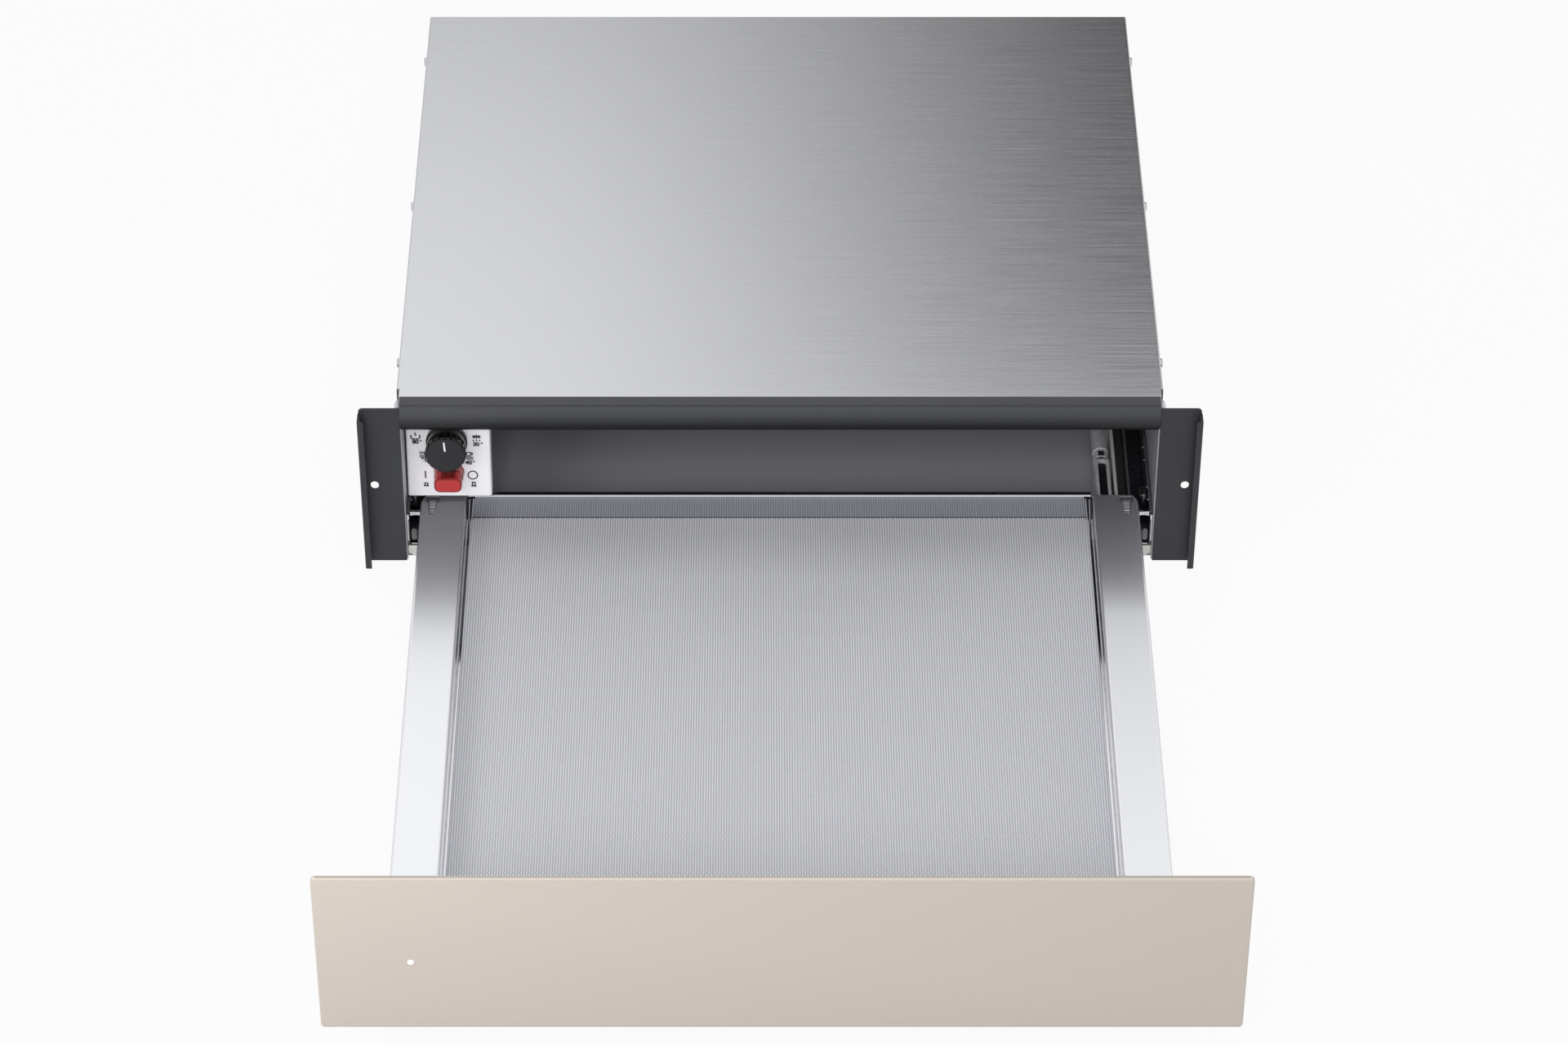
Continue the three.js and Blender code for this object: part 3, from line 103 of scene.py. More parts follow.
def card(name, place, turn, width, height, material):
    """A flat card of the stage, seen only in metal."""
    bpy.ops.object.select_all(action="DESELECT")
    bpy.ops.mesh.primitive_plane_add(size=1, location=place, rotation=(math.radians(turn), 0, 0))
    piece = bpy.context.object
    piece.name = name
    piece.scale = (width, height, 1)
    bpy.ops.object.transform_apply(location=True, rotation=True, scale=True)
    piece.data.materials.append(material)
    for way in ("camera", "diffuse", "shadow", "transmission"):
        setattr(piece, "visible_" + way, False)


def soft_lamp(name, place, aim, width, height, energy, spread=180):
    """A soft white lamp that shines from its place towards its aim, and isn't seen in metal."""
    bpy.ops.object.select_all(action="DESELECT")
    bpy.ops.object.light_add(type="AREA", location=place)
    lamp = bpy.context.object
    lamp.name = name
    lamp.data.shape = "RECTANGLE"
    lamp.data.size = width
    lamp.data.size_y = height
    lamp.data.energy = energy
    lamp.data.spread = math.radians(spread)
    lamp.rotation_euler = (Vector(aim) - Vector(place)).to_track_quat("-Z", "Y").to_euler()
    lamp.visible_glossy = False


bpy.ops.object.select_all(action="DESELECT")
bpy.ops.object.camera_add(
    location=(-0.0144, -2.7734, 2.3206), rotation=(math.radians(90 - 39.5), 0, 0)
)
camera = bpy.context.object
camera.data.sensor_width = 36
camera.data.lens = 115.2
camera.data.shift_x = 0.0156
camera.data.clip_end = 60
bpy.context.scene.camera = camera
bpy.context.scene.view_settings.view_transform = "Standard"

world = bpy.data.worlds.new("studio")
bpy.context.scene.world = world
world.use_nodes = True
tree = world.node_tree
tree.nodes.clear()
room_light = add(tree, "Background", {"Color": (*linear(250, 250, 252), 1), "Strength": 0.62})
white_room = add(tree, "Background", {"Color": (1, 1, 1, 1), "Strength": 1.0})
either = add(tree, "MixShader", {0: seen_directly(tree), 1: room_light.outputs[0], 2: white_room.outputs[0]})
add(tree, "OutputWorld", {"Surface": either.outputs[0]})

bpy.ops.object.select_all(action="DESELECT")
bpy.ops.mesh.primitive_plane_add(size=40, location=(0, 0, -0.0005))
floor = bpy.context.object
floor.name = "studio_floor"
floor_paint = finish("studio_floor", (0.55, 0.55, 0.55), 0.9, Specular_IOR_Level=0.0)
tree = floor_paint.node_tree
glow = add(tree, "Emission", {"Strength": 1.0})
share = add(tree, "Math", {0: seen_directly(tree), 1: 0.93}, operation="MULTIPLY")
painted = tree.nodes["Principled BSDF"].outputs[0]
either = add(tree, "MixShader", {0: share.outputs[0], 1: painted, 2: glow.outputs[0]})
tree.links.new(either.outputs[0], tree.nodes["Material Output"].inputs["Surface"])
floor.data.materials.append(floor_paint)

# A large screen behind the unit. Its lower part is white at the left, dark to the right of the unit
# and pale again at the far right. Its upper part is white all the way across.
cloth = empty_material("grey_screen")
tree = cloth.node_tree
place = own_place(tree)
from_left = ramp(tree, place["X"], -0.38, 0.60, 1.0, 0.0)
far_right = ramp(tree, place["X"], 0.68, 1.08, 0.0, 0.85)
sideways = add(tree, "Math", {0: from_left, 1: far_right}, operation="ADD").outputs[0]
upward = ramp(tree, place["Z"], 0.95, 1.60, 0.60, 1.04)
lower_part = add(tree, "Math", {0: sideways, 1: upward}, operation="MULTIPLY").outputs[0]
upper_part = ramp(tree, place["X"], 0.0, 0.40, 1.0, 1.26)
fade = ramp(tree, place["Z"], 1.88, 2.03, 0.0, 1.0)
blend = add(tree, "Mix", {"Factor": fade, "A": lower_part, "B": upper_part}, data_type="FLOAT")
glow = add(tree, "Emission", {"Strength": blend.outputs["Result"]})
add(tree, "OutputMaterial", {"Surface": glow.outputs[0]})
card("grey_screen", (0, 2.0, 1.6), 90, 6.0, 2.9, cloth)

# A dark card above the camera, as the ceiling of a studio is.
card("dark_card", (0, -2.2, 3.4), 125, 4.0, 2.2, finish("dark_card", (0.02, 0.02, 0.02), 1.0))

# A small black card before the control panel, seen only from the front, so that the knob and the
# panel aren't mirrored in the drawer's side. Its lower half slants back.
CARD_X, CARD_WIDTH = -0.237, 0.066
one_sided = empty_material("small_card")
tree = one_sided.node_tree
backfacing = add(tree, "NewGeometry", {}).outputs["Backfacing"]
dim = add(tree, "Emission", {"Color": (0.08, 0.08, 0.084, 1)})
see_through = add(tree, "BsdfTransparent", {})
either = add(tree, "MixShader", {0: backfacing, 1: dim.outputs[0], 2: see_through.outputs[0]})
add(tree, "OutputMaterial", {"Surface": either.outputs[0]})
card("small_card_lower", (CARD_X, 0.00675, 0.0498), 138.4, CARD_WIDTH, 0.0261, one_sided)
card("small_card_upper", (CARD_X, -0.003, 0.0883), 90, CARD_WIDTH, 0.0596, one_sided)

soft_lamp("key_lamp", (-2.0, -2.2, 1.9), (-0.1, -0.3, 0.1), 1.6, 1.2, 25)
soft_lamp("top_lamp", (0, -0.2, 2.8), (0, -0.2, 0), 2.4, 2.4, 20)
soft_lamp("front_lamp", (0.15, -2.3, 1.9), (0, 0.1, 0), 1.2, 1.0, 20)
soft_lamp("corner_lamp", (-0.55, -0.75, 0.42), (-0.30, -0.48, 0.13), 0.25, 0.25, 0.62)
soft_lamp("panel_lamp", (-0.237, -0.45, 0.45), (-0.237, 0.004, 0.088), 0.04, 0.04, 0.0035, spread=14)


# Top sheet.
# One sheet of brushed steel with its two sides folded down and the front ends of the folds
# cut away. The grain runs across the unit.

SHEET = 0.0012
TOP = 0.1385
SIDE_RETURN = 0.2711
SIDE_FOLD = 0.012
NECK = 0.2689
NECK_LENGTH = 0.01
FRONT_EDGE, REAR_EDGE = 0.0225, 0.4932


def pick(piece, kind, wanted):
    """Opens the piece in edit mode with only its wanted vertices, edges or faces selected."""
    bpy.context.view_layer.objects.active = piece
    bpy.ops.object.mode_set(mode="EDIT")
    bpy.ops.mesh.select_mode(type=kind)
    bpy.ops.mesh.select_all(action="DESELECT")
    shape = bmesh.from_edit_mesh(piece.data)
    for part in {"VERT": shape.verts, "EDGE": shape.edges, "FACE": shape.faces}[kind]:
        if wanted(part):
            part.select_set(True)
    bmesh.update_edit_mesh(piece.data)


def middle(part):
    """Middle of an edge or a face."""
    return sum((v.co for v in part.verts), Vector()) / len(part.verts)


def span(edge, axis):
    """How far an edge runs along x, y or z."""
    return abs(getattr(edge.verts[0].co - edge.verts[1].co, axis))


def draw_out(x, y, z):
    """Extrudes what is selected by this much."""
    bpy.ops.mesh.extrude_region_move(TRANSFORM_OT_translate={"value": (x, y, z)})


def round_off(radius, segments):
    """Rounds what is selected."""
    bpy.ops.mesh.bevel(offset=radius, segments=segments, affect="EDGES")


def put_down():
    """Back to object mode."""
    bpy.ops.object.mode_set(mode="OBJECT")


def close(piece):
    """Back to object mode, with doubled points merged and the faces turned outwards."""
    if piece.mode != "EDIT":
        bpy.context.view_layer.objects.active = piece
        bpy.ops.object.mode_set(mode="EDIT")
    bpy.ops.mesh.select_all(action="SELECT")
    bpy.ops.mesh.remove_doubles(threshold=1e-6)
    bpy.ops.mesh.normals_make_consistent(inside=False)
    put_down()


def alone(piece):
    """Selects this piece and nothing else."""
    bpy.ops.object.select_all(action="DESELECT")
    piece.select_set(True)
    bpy.context.view_layer.objects.active = piece


def settle(piece):
    """Puts the piece's place and turn into its mesh."""
    alone(piece)
    bpy.ops.object.transform_apply(location=True, rotation=True, scale=True)


def bake(piece, kind, **settings):
    """Adds a modifier with these settings and applies it."""
    alone(piece)
    step = piece.modifiers.new(kind.title(), kind)
    for name, value in settings.items():
        setattr(step, name, value)
    bpy.ops.object.modifier_apply(modifier=step.name)


def shade(piece, angle):
    """Shades the piece smooth, except where it bends by more than this angle."""
    alone(piece)
    bpy.ops.object.shade_smooth_by_angle(angle=math.radians(angle))


def smooth(piece):
    """Shades the piece smooth between its sharp edges, with its large faces left flat."""
    alone(piece)
    bpy.ops.mesh.customdata_custom_splitnormals_clear()
    shade(piece, 50)
    bake(piece, "WEIGHTED_NORMAL", weight=100, keep_sharp=True)


def ease(piece, radius, segments=2, angle=35):
    """Breaks the piece's sharp edges and shades it smooth between them."""
    limit = math.radians(angle)
    bake(piece, "BEVEL", width=radius, segments=segments, limit_method="ANGLE", angle_limit=limit)
    smooth(piece)


def wear(piece, material, body, slot, *nodes):
    """Gives a finished piece its material and its body, and the CAD nodes that it stands for. The slot is not
    used.
    """
    piece.data.materials.clear()
    piece.data.materials.append(material)
    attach(piece, body)
    if nodes:
        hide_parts(*nodes)


def grain(material, scale, depth, colour, rough=0.0, detail=4):
    """Fine noise as relief (depth in thousandths of a millimetre), as colour and as roughness."""
    tree = material.node_tree
    shader = tree.nodes["Principled BSDF"]
    scales = scale if isinstance(scale, tuple) else (scale, scale, scale)
    place = add(tree, "TexCoord", {}).outputs["Object"]
    stretched = add(tree, "Mapping", {"Vector": place, "Scale": scales}).outputs[0]
    noise = add(tree, "TexNoise", {"Vector": stretched, "Scale": 1.0, "Detail": detail}).outputs["Fac"]
    relief = add(tree, "Bump", {"Strength": 1.0, "Distance": depth * 1e-6, "Height": noise})
    tree.links.new(relief.outputs[0], shader.inputs["Normal"])
    base = shader.inputs["Base Color"].default_value[:3]
    darker = (*[c * (1 - colour) for c in base], 1)
    lighter = (*[min(1, c * (1 + colour)) for c in base], 1)
    tint = add(tree, "Mix", {"Factor": noise, "A": darker, "B": lighter}, data_type="RGBA")
    tree.links.new(tint.outputs["Result"], shader.inputs["Base Color"])
    if rough:
        base = shader.inputs["Roughness"].default_value
        limits = {"To Min": max(0.02, base - rough), "To Max": min(1, base + rough)}
        sheen = add(tree, "MapRange", {"Value": noise, "From Min": 0.3, "From Max": 0.7, **limits})
        tree.links.new(sheen.outputs["Result"], shader.inputs["Roughness"])


brushed_steel = finish("brushed_steel", linear(220, 221, 225), 0.25, 1.0)
grain(brushed_steel, (14, 2600, 2600), 12, colour=0.07, rough=0.05, detail=3)
bpy.ops.object.select_all(action="DESELECT")
bpy.ops.mesh.primitive_plane_add(size=1, location=(0, (FRONT_EDGE + REAR_EDGE) / 2, TOP))
top_cover = bpy.context.object
top_cover.name = "top_cover"
top_cover.scale = (2 * SIDE_RETURN, REAR_EDGE - FRONT_EDGE, 1)
settle(top_cover)
for x in (-NECK, NECK):
    pick(top_cover, "FACE", lambda face: True)
    bpy.ops.mesh.bisect(plane_co=(x, 0, 0), plane_no=(1, 0, 0))
pick(top_cover, "EDGE", lambda edge: middle(edge).y < FRONT_EDGE + 0.0001 and abs(middle(edge).x) < 0.1)
draw_out(0, -NECK_LENGTH, 0)
for side in (-1, 1):
    pick(top_cover, "EDGE", lambda edge: middle(edge).x * side > SIDE_RETURN - 1e-5)
    draw_out(0, 0, -SIDE_FOLD)
pick(top_cover, "EDGE", lambda edge: abs(middle(edge).x) > SIDE_RETURN - 1e-5
     and middle(edge).z > TOP - 1e-5 and span(edge, "y") > 0.1)
round_off(0.0014, 4)
put_down()
bake(top_cover, "SOLIDIFY", thickness=SHEET, offset=-1)
close(top_cover)
ease(top_cover, 0.00025, 2)
wear(top_cover, brushed_steel, "cabinet", "brushed_steel", "top_sheet")


# Front rail.
# A roll-formed rail in graphite paint that closes the mouth at the top: a flat lip over the edge of
# the top sheet, a narrow groove, a round face and a lower wall that runs back. Its paint is blended to near
# black towards the bottom, as painted shade where the face turns under.

RAIL_END = 0.2682
RAIL_SHEET = 0.0010
FACE_RADIUS = 0.0157
FACE_Y, FACE_Z = 0.0138, 0.12955


def bent_sheet(name, bends, along, run, thickness, side=-1, radius=0.0, segments=4):
    """Sheet metal folded leg by leg from a plane. The bends are points of its section."""
    bends = [Vector(point) for point in bends]
    along = Vector(along)
    leg = bends[1] - bends[0]
    bpy.ops.object.select_all(action="DESELECT")
    bpy.ops.mesh.primitive_plane_add(size=1)
    sheet = bpy.context.object
    sheet.name = name
    centre = (bends[0] + bends[1]) / 2 + along * (run[0] + run[1]) / 2
    across = leg.cross(along).normalized()
    axes = Matrix((leg, along * (run[1] - run[0]), across)).transposed().to_4x4()
    sheet.matrix_world = Matrix.Translation(centre) @ axes
    settle(sheet)

    def at(edge, point):
        off = [(v.co - point) - along * (v.co - point).dot(along) for v in edge.verts]
        return all(o.length < 1e-6 for o in off)

    for last, bend in zip(bends[1:], bends[2:]):
        pick(sheet, "EDGE", lambda edge: at(edge, last))
        draw_out(*(bend - last))
    if radius:
        pick(sheet, "EDGE", lambda edge: any(at(edge, point) for point in bends[1:-1]))
        round_off(radius, segments)
    if sheet.mode == "EDIT":
        put_down()
    bake(sheet, "SOLIDIFY", thickness=thickness, offset=side, use_even_offset=True)
    close(sheet)
    return sheet


rail_face = [
    (0, 0.0122, 0.1384), (0, 0.0041, 0.1384), (0, 0.0039, 0.1377), (0, 0.0052, 0.1375), (0, 0.0052, 0.1368),
    (0, 0.0022, 0.1374),
]
for step in range(-30, 66, 5):
    turn = math.radians(step)
    rail_face.append((0, FACE_Y - FACE_RADIUS * math.cos(turn), FACE_Z - FACE_RADIUS * math.sin(turn)))
rail_face.append((0, 0.0226, 0.1152))
front_rail = bent_sheet("front_rail_cover", rail_face, (1, 0, 0), (-RAIL_END, RAIL_END), RAIL_SHEET, side=1)
ease(front_rail, 0.00015, 2, angle=30)

graphite_paint = finish("graphite_paint", linear(74, 75, 79), 0.42, 0.0, Specular_IOR_Level=0.1)
grain(graphite_paint, 2200, 10, colour=0.05, rough=0.05, detail=2)
tree = graphite_paint.node_tree
paint_colour = tree.nodes["Principled BSDF"].inputs["Base Color"]
painted = paint_colour.links[0].from_socket
# Painted shade: the paint turns near black towards the bottom of the rail's round face.
upward = ramp(tree, own_place(tree)["Z"], 0.1186, 0.1366, 0.02, 1.0)
painted_shade = add(tree, "Mix", {"Factor": upward, "A": (*linear(14, 14, 16), 1), "B": painted}, data_type="RGBA")
tree.links.new(painted_shade.outputs["Result"], paint_colour)
wear(front_rail, graphite_paint, "cabinet", "graphite_paint", "front_rail")


# Side flanges.
# Two bent plates in a darker graphite paint that screw to the furniture. The outer lip stands
# forward with its edge turned in, and a wing lies on the side panel.

FLANGE_SHEET = 0.002
OUTER = 0.2975
FLANGE_INNER = 0.2682
FLANGE_TOP = 0.1388
LIP_FRONT = -0.0110
HEM_EDGE = 0.2930
LIP_TOP = 0.1335
WING_REAR = 0.018
HOLE_X, HOLE_Z = 0.2882, 0.07
HOLE_RADIUS, HOLE_STRETCH = 0.0029, 0.0008


def block(name, low, high):
    """A box between two corners, to be worked on."""
    low, high = Vector(low), Vector(high)
    bpy.ops.object.select_all(action="DESELECT")
    bpy.ops.mesh.primitive_cube_add(size=1, location=(low + high) / 2, scale=high - low)
    piece = bpy.context.object
    piece.name = name
    settle(piece)
    return piece


def rod(name, start, end, radius, sides=32):
    """A round bar between two points, to be worked on."""
    start, end = Vector(start), Vector(end)
    bpy.ops.object.select_all(action="DESELECT")
    bpy.ops.mesh.primitive_cylinder_add(
        vertices=sides, radius=radius, depth=(end - start).length, location=(start + end) / 2,
        rotation=(end - start).to_track_quat("Z", "Y").to_euler(),
    )
    piece = bpy.context.object
    piece.name = name
    settle(piece)
    return piece


def cut(piece, tool):
    """Cuts the tool out of the piece and takes the tool away."""
    bake(piece, "BOOLEAN", operation="DIFFERENCE", solver="EXACT", object=tool)
    bpy.data.objects.remove(tool)


def copy_of(piece, name):
    """A copy of a piece, with its own mesh."""
    twin = piece.copy()
    twin.data = piece.data.copy()
    twin.name = name
    bpy.context.scene.collection.objects.link(twin)
    return twin


def other_side(piece, name):
    """A mirrored copy of a left or right piece, with its own mesh."""
    twin = copy_of(piece, name)
    twin.scale = (-1, 1, 1)
    settle(twin)
    close(twin)
    smooth(twin)
    return twin


def wear_both(piece, material, body, slot, node=None):
    """Finishes a right-hand piece, and then its mirrored copy, which keeps the right node too."""
    nodes = [node] if node else []
    wear(piece, material, body, slot, *nodes)
    twin = other_side(piece, piece.name.replace("right", "left"))
    wear(twin, material, body, slot, *[name.replace("right", "left") for name in nodes])


def flange_plate(name):
    plate = block(name, (FLANGE_INNER, -FLANGE_SHEET, 0.0006), (OUTER - 0.0006, 0, FLANGE_TOP))
    pick(plate, "EDGE", lambda edge: middle(edge).x > OUTER - 0.0007 and middle(edge).z > FLANGE_TOP - 0.0001
         and span(edge, "y") > 0.001)
    round_off(0.003, 6)
    pick(plate, "FACE", lambda face: face.normal.y > 0.9)
    bpy.ops.mesh.bisect(plane_co=(0.2707, 0, 0), plane_no=(1, 0, 0))
    put_down()
    hole = rod("hole", (HOLE_X, -0.006, HOLE_Z), (HOLE_X, 0.004, HOLE_Z), HOLE_RADIUS, 48)
    for way in (1, -1):
        pick(hole, "VERT", lambda vert: (vert.co.z - HOLE_Z) * way > 0)
        bpy.ops.transform.translate(value=(0, 0, HOLE_STRETCH * way))
    put_down()
    cut(plate, hole)
    close(plate)
    ease(plate, 0.00025, 2, angle=40)
    return plate


def flange_lip(name):
    lip = bent_sheet(
        name, [(OUTER, 0, 0), (OUTER, LIP_FRONT, 0), (HEM_EDGE, LIP_FRONT, 0)],
        (0, 0, 1), (0.0003, LIP_TOP), 0.0019, side=1, radius=0.0012, segments=4,
    )
    pick(lip, "EDGE", lambda edge: middle(edge).x < HEM_EDGE + 0.002 and middle(edge).z > LIP_TOP - 0.0001
         and span(edge, "y") > 0.001)
    round_off(0.0015, 4)
    close(lip)
    ease(lip, 0.0003, 2, angle=40)
    return lip


def flange_wing(name):
    wing = block(name, (0.2692, -0.001, 0.006), (0.2707, WING_REAR, 0.124))
    pick(wing, "EDGE", lambda edge: middle(edge).y > WING_REAR - 0.0001 and span(edge, "x") > 0.001)
    round_off(0.004, 5)
    close(wing)
    ease(wing, 0.0003, 2, angle=40)
    return wing


flange_paint = finish("flange_paint", linear(48, 49, 53), 0.5, 0.2)
grain(flange_paint, 2600, 14, colour=0.06, rough=0.05, detail=2)
wear_both(flange_plate("flange_plate_right"), flange_paint, "cabinet", "graphite_paint", "flange_right")
for part in (flange_lip("flange_lip_right"), flange_wing("flange_wing_right")):
    wear_both(part, flange_paint, "cabinet", "graphite_paint")


# Side screws.
# A bright domed screw near the top front corner of each side panel, with a hexagon socket.

SCREW_Y, SCREW_Z = 0.009, 0.1322


def side_screw(name):
    bpy.ops.object.select_all(action="DESELECT")
    bpy.ops.mesh.primitive_uv_sphere_add(
        segments=40, ring_count=20, radius=0.0055, rotation=(0, math.radians(90), 0),
    )
    head = bpy.context.object
    head.name = name
    head.scale = (1, 1, 0.56)
    settle(head)
    pick(head, "FACE", lambda face: True)
    bpy.ops.mesh.bisect(plane_co=(0, 0, 0), plane_no=(1, 0, 0), clear_inner=True, use_fill=True)
    put_down()
    head.location = (0.2692, SCREW_Y, SCREW_Z)
    settle(head)
    cut(head, rod("socket", (0.2710, SCREW_Y, SCREW_Z), (0.2740, SCREW_Y, SCREW_Z), 0.0016, 6))
    close(head)
    ease(head, 0.0001, 1, angle=50)
    return head


bright_steel = finish("bright_steel", linear(196, 197, 201), 0.12, 1.0)
grain(bright_steel, 900, 2, colour=0.03, rough=0.03, detail=2)
screw_right = side_screw("side_screw_right_head")
screw_left = other_side(screw_right, "side_screw_left_head")
wear(screw_right, bright_steel, "cabinet", "chrome", "side_screw_right")
wear(screw_left, bright_steel, "cabinet", "chrome", "side_screw_left")


# Cabinet shell: base, sides and rear.
# Zinc-plated steel sheets, and a base and an air duct painted grey. They are plain folded sheets,
# so they keep their shape and get their finish here.

def dress(material, *nodes):
    """Gives CAD nodes that keep their shape a material."""
    for name in nodes:
        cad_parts[name].material_slots[0].material = material


zinc_steel = finish("zinc_steel", linear(186, 187, 191), 0.45, 0.65)
grain(zinc_steel, 260, 6, colour=0.14, rough=0.10, detail=5)
dress(zinc_steel, "side_panel_left", "side_panel_right", "rear_panel", "control_box")
cavity_paint = finish("cavity_paint", linear(174, 175, 180), 0.42, 0.2)
grain(cavity_paint, 1500, 6, colour=0.04, rough=0.05, detail=2)
dress(cavity_paint, "base_pan", "air_duct")


# Rear and side fasteners.
# Small pan-head screws with a cross recess. They hold the rear panel on, and the sides to the top
# sheet's folds. One is modelled, and the others are copies of it.

def pan_head(name, radius=0.0034):
    """A low round head with a cross in it, facing up."""
    bpy.ops.object.select_all(action="DESELECT")
    bpy.ops.mesh.primitive_cylinder_add(vertices=20, radius=radius, depth=0.0018, location=(0, 0, 0.0009))
    head = bpy.context.object
    head.name = name
    settle(head)
    pick(head, "FACE", lambda face: face.normal.z > 0.9)
    round_off(0.0008, 3)
    put_down()
    for turn in (20, 110):
        slot = block("slot", (-radius * 0.6, -0.00035, 0.0009), (radius * 0.6, 0.00035, 0.003))
        slot.rotation_euler = (0, 0, math.radians(turn))
        settle(slot)
        cut(head, slot)
    return head


places = [((x, 0.4933, 0.1285), (0, 1, 0)) for x in (-0.252, -0.15, 0.0, 0.15, 0.252)]
places += [((x, 0.4933, 0.010), (0, 1, 0)) for x in (-0.252, -0.085, 0.085, 0.252)]
places += [((side * 0.2712, y, 0.1322), (side, 0, 0)) for side in (-1, 1) for y in (0.06, 0.25, 0.44)]
pattern = pan_head("pan_head")
for i, (place, outward) in enumerate(places):
    head = copy_of(pattern, f"sheet_screw_{i + 1}")
    head.rotation_euler = Vector(outward).to_track_quat("Z", "Y").to_euler()
    head.location = place
    settle(head)
    close(head)
    shade(head, 40)
    wear(head, bright_steel, "cabinet", "chrome")
bpy.data.objects.remove(pattern)


# Control panel.
# A pale silver-white plate that leans back five degrees, with its two sides folded back in soft
# bends. It has a round hole for the knob's bush and an oval one for the button.

LEAN = Matrix.Translation((0, 0.017, 0.0454)) @ Matrix.Rotation(math.radians(-5), 4, "X")
PANEL_LEFT, PANEL_RIGHT, PANEL_HEIGHT = -0.2664, -0.2062, 0.087
DIAL = (-0.2371, 0.0479)
BUTTON = (-0.2364, 0.0205)


def lean(piece, spot=None):
    """Takes a piece made upright to the leaning panel, and first to its spot if it has one."""
    if spot:
        piece.location = (spot[0], 0, spot[1])
        settle(piece)
    piece.matrix_world = LEAN @ piece.matrix_world
    settle(piece)


def oval_bar(name, centre, half_width, half_height, front, back):
    """A flat-sided oval bar along Y, from a box with its four long edges rounded."""
    x, z = centre
    bar = block(name, (x - half_width, front, z - half_height), (x + half_width, back, z + half_height))
    pick(bar, "EDGE", lambda edge: span(edge, "y") > 1e-5)
    round_off(half_height * 0.998, 14)
    close(bar)
    return bar


panel = bent_sheet(
    "console_plate",
    [(PANEL_LEFT, 0.012, 0), (PANEL_LEFT, 0, 0), (PANEL_RIGHT, 0, 0), (PANEL_RIGHT, 0.012, 0)],
    (0, 0, 1), (0, PANEL_HEIGHT), 0.0015, side=-1, radius=0.0019, segments=7,
)
cut(panel, rod("bush_hole", (DIAL[0], -0.01, DIAL[1]), (DIAL[0], 0.01, DIAL[1]), 0.0051))
cut(panel, oval_bar("button_hole", BUTTON, 0.01085, 0.0069, -0.01, 0.01))
close(panel)
ease(panel, 0.00025, 2)
lean(panel)
panel_paint = finish("panel_paint", linear(249, 249, 252), 0.34)
grain(panel_paint, 1800, 5, colour=0.02, rough=0.05, detail=2)
wear(panel, panel_paint, "cabinet", "white_panel", "control_panel")


# Printed marks on the control panel.
# The four temperatures with their small signs, the line and ring of the power button and the two
# button positions, printed in black. Each is a raised flake a tenth of a millimetre thick.

INK = -0.0001
BOLD = 1.6
FINE = 0.0005


def bar(start, end, width=FINE):
    """A straight printed stroke on the panel."""
    start, end = Vector(start), Vector(end)
    bpy.ops.object.select_all(action="DESELECT")
    mid = (start + end) / 2
    run = end - start
    bpy.ops.mesh.primitive_cube_add(
        size=1, location=(mid.x, INK / 2, mid.y), rotation=(0, -math.atan2(run.y, run.x), 0),
        scale=(run.length + width * 0.6, -INK, width * BOLD),
    )
    stroke = bpy.context.object
    settle(stroke)
    return stroke


def strokes(points, width=FINE):
    """A broken line of strokes."""
    return [bar(a, b, width) for a, b in zip(points, points[1:])]


def ring(centre, radius, width=FINE):
    """A printed ring."""
    steps = 28
    turn = [2 * math.pi * i / steps for i in range(steps + 1)]
    points = [(centre[0] + radius * math.cos(a), centre[1] + radius * math.sin(a)) for a in turn]
    return strokes(points, width)


def wave(left, right, height):
    """A printed line with two waves in it."""
    steps = 12
    share = [i / steps for i in range(steps + 1)]
    return strokes([(left + (right - left) * s, height + 0.0004 * math.sin(4 * math.pi * s)) for s in share])


def figures(text, centre, height):
    """Printed figures in a plain bold face."""
    bpy.ops.object.select_all(action="DESELECT")
    bpy.ops.object.text_add(rotation=(math.radians(90), 0, 0))
    words = bpy.context.object
    words.data.body = text
    words.data.size = height * 1.38
    words.data.offset = height * 0.075
    words.data.extrude = 0.00005
    words.data.align_x = "CENTER"
    words.data.align_y = "CENTER"
    alone(words)
    bpy.ops.object.convert(target="MESH")
    words = bpy.context.object
    words.location = (centre[0], INK / 2, centre[1])
    settle(words)
    return words


marks = []
for text, x, z, height, sign_x in (
    ("80", -0.2595, 0.0463, 0.0033, -0.2559), ("30", -0.2163, 0.0442, 0.0033, -0.2124),
    ("40", -0.2222, 0.0285, 0.0034, -0.2186), ("60", -0.2536, 0.0308, 0.0036, -0.2498),
):
    marks += [figures(text, (x, z), height)] + ring((sign_x, z + 0.0010), 0.00055, 0.0003)
# 80: a dish with steam over it
marks += strokes([(-0.2625, 0.0521), (-0.2625, 0.0498), (-0.2617, 0.0488), (-0.2572, 0.0488),
                  (-0.2564, 0.0498), (-0.2564, 0.0521)], 0.00055)
marks += [bar((-0.2625, 0.0510), (-0.2632, 0.0510), 0.00045)]
marks += [bar((-0.2564, 0.0510), (-0.2557, 0.0510), 0.00045)]
marks += strokes([(-0.2593, 0.0542), (-0.2599, 0.0533), (-0.2589, 0.0524), (-0.2595, 0.0515)])
# 30: a crystal over three drops
for turn in (0, 35, 90, 145):
    dx, dz = 0.0030 * math.cos(math.radians(turn)), 0.0019 * math.sin(math.radians(turn))
    marks += [bar((-0.2160 - dx, 0.0507 - dz), (-0.2160 + dx, 0.0507 + dz))]
for x in (-0.2182, -0.2160, -0.2138):
    marks += [bar((x - 0.0002, 0.0475), (x + 0.0002, 0.0475), 0.0009)]
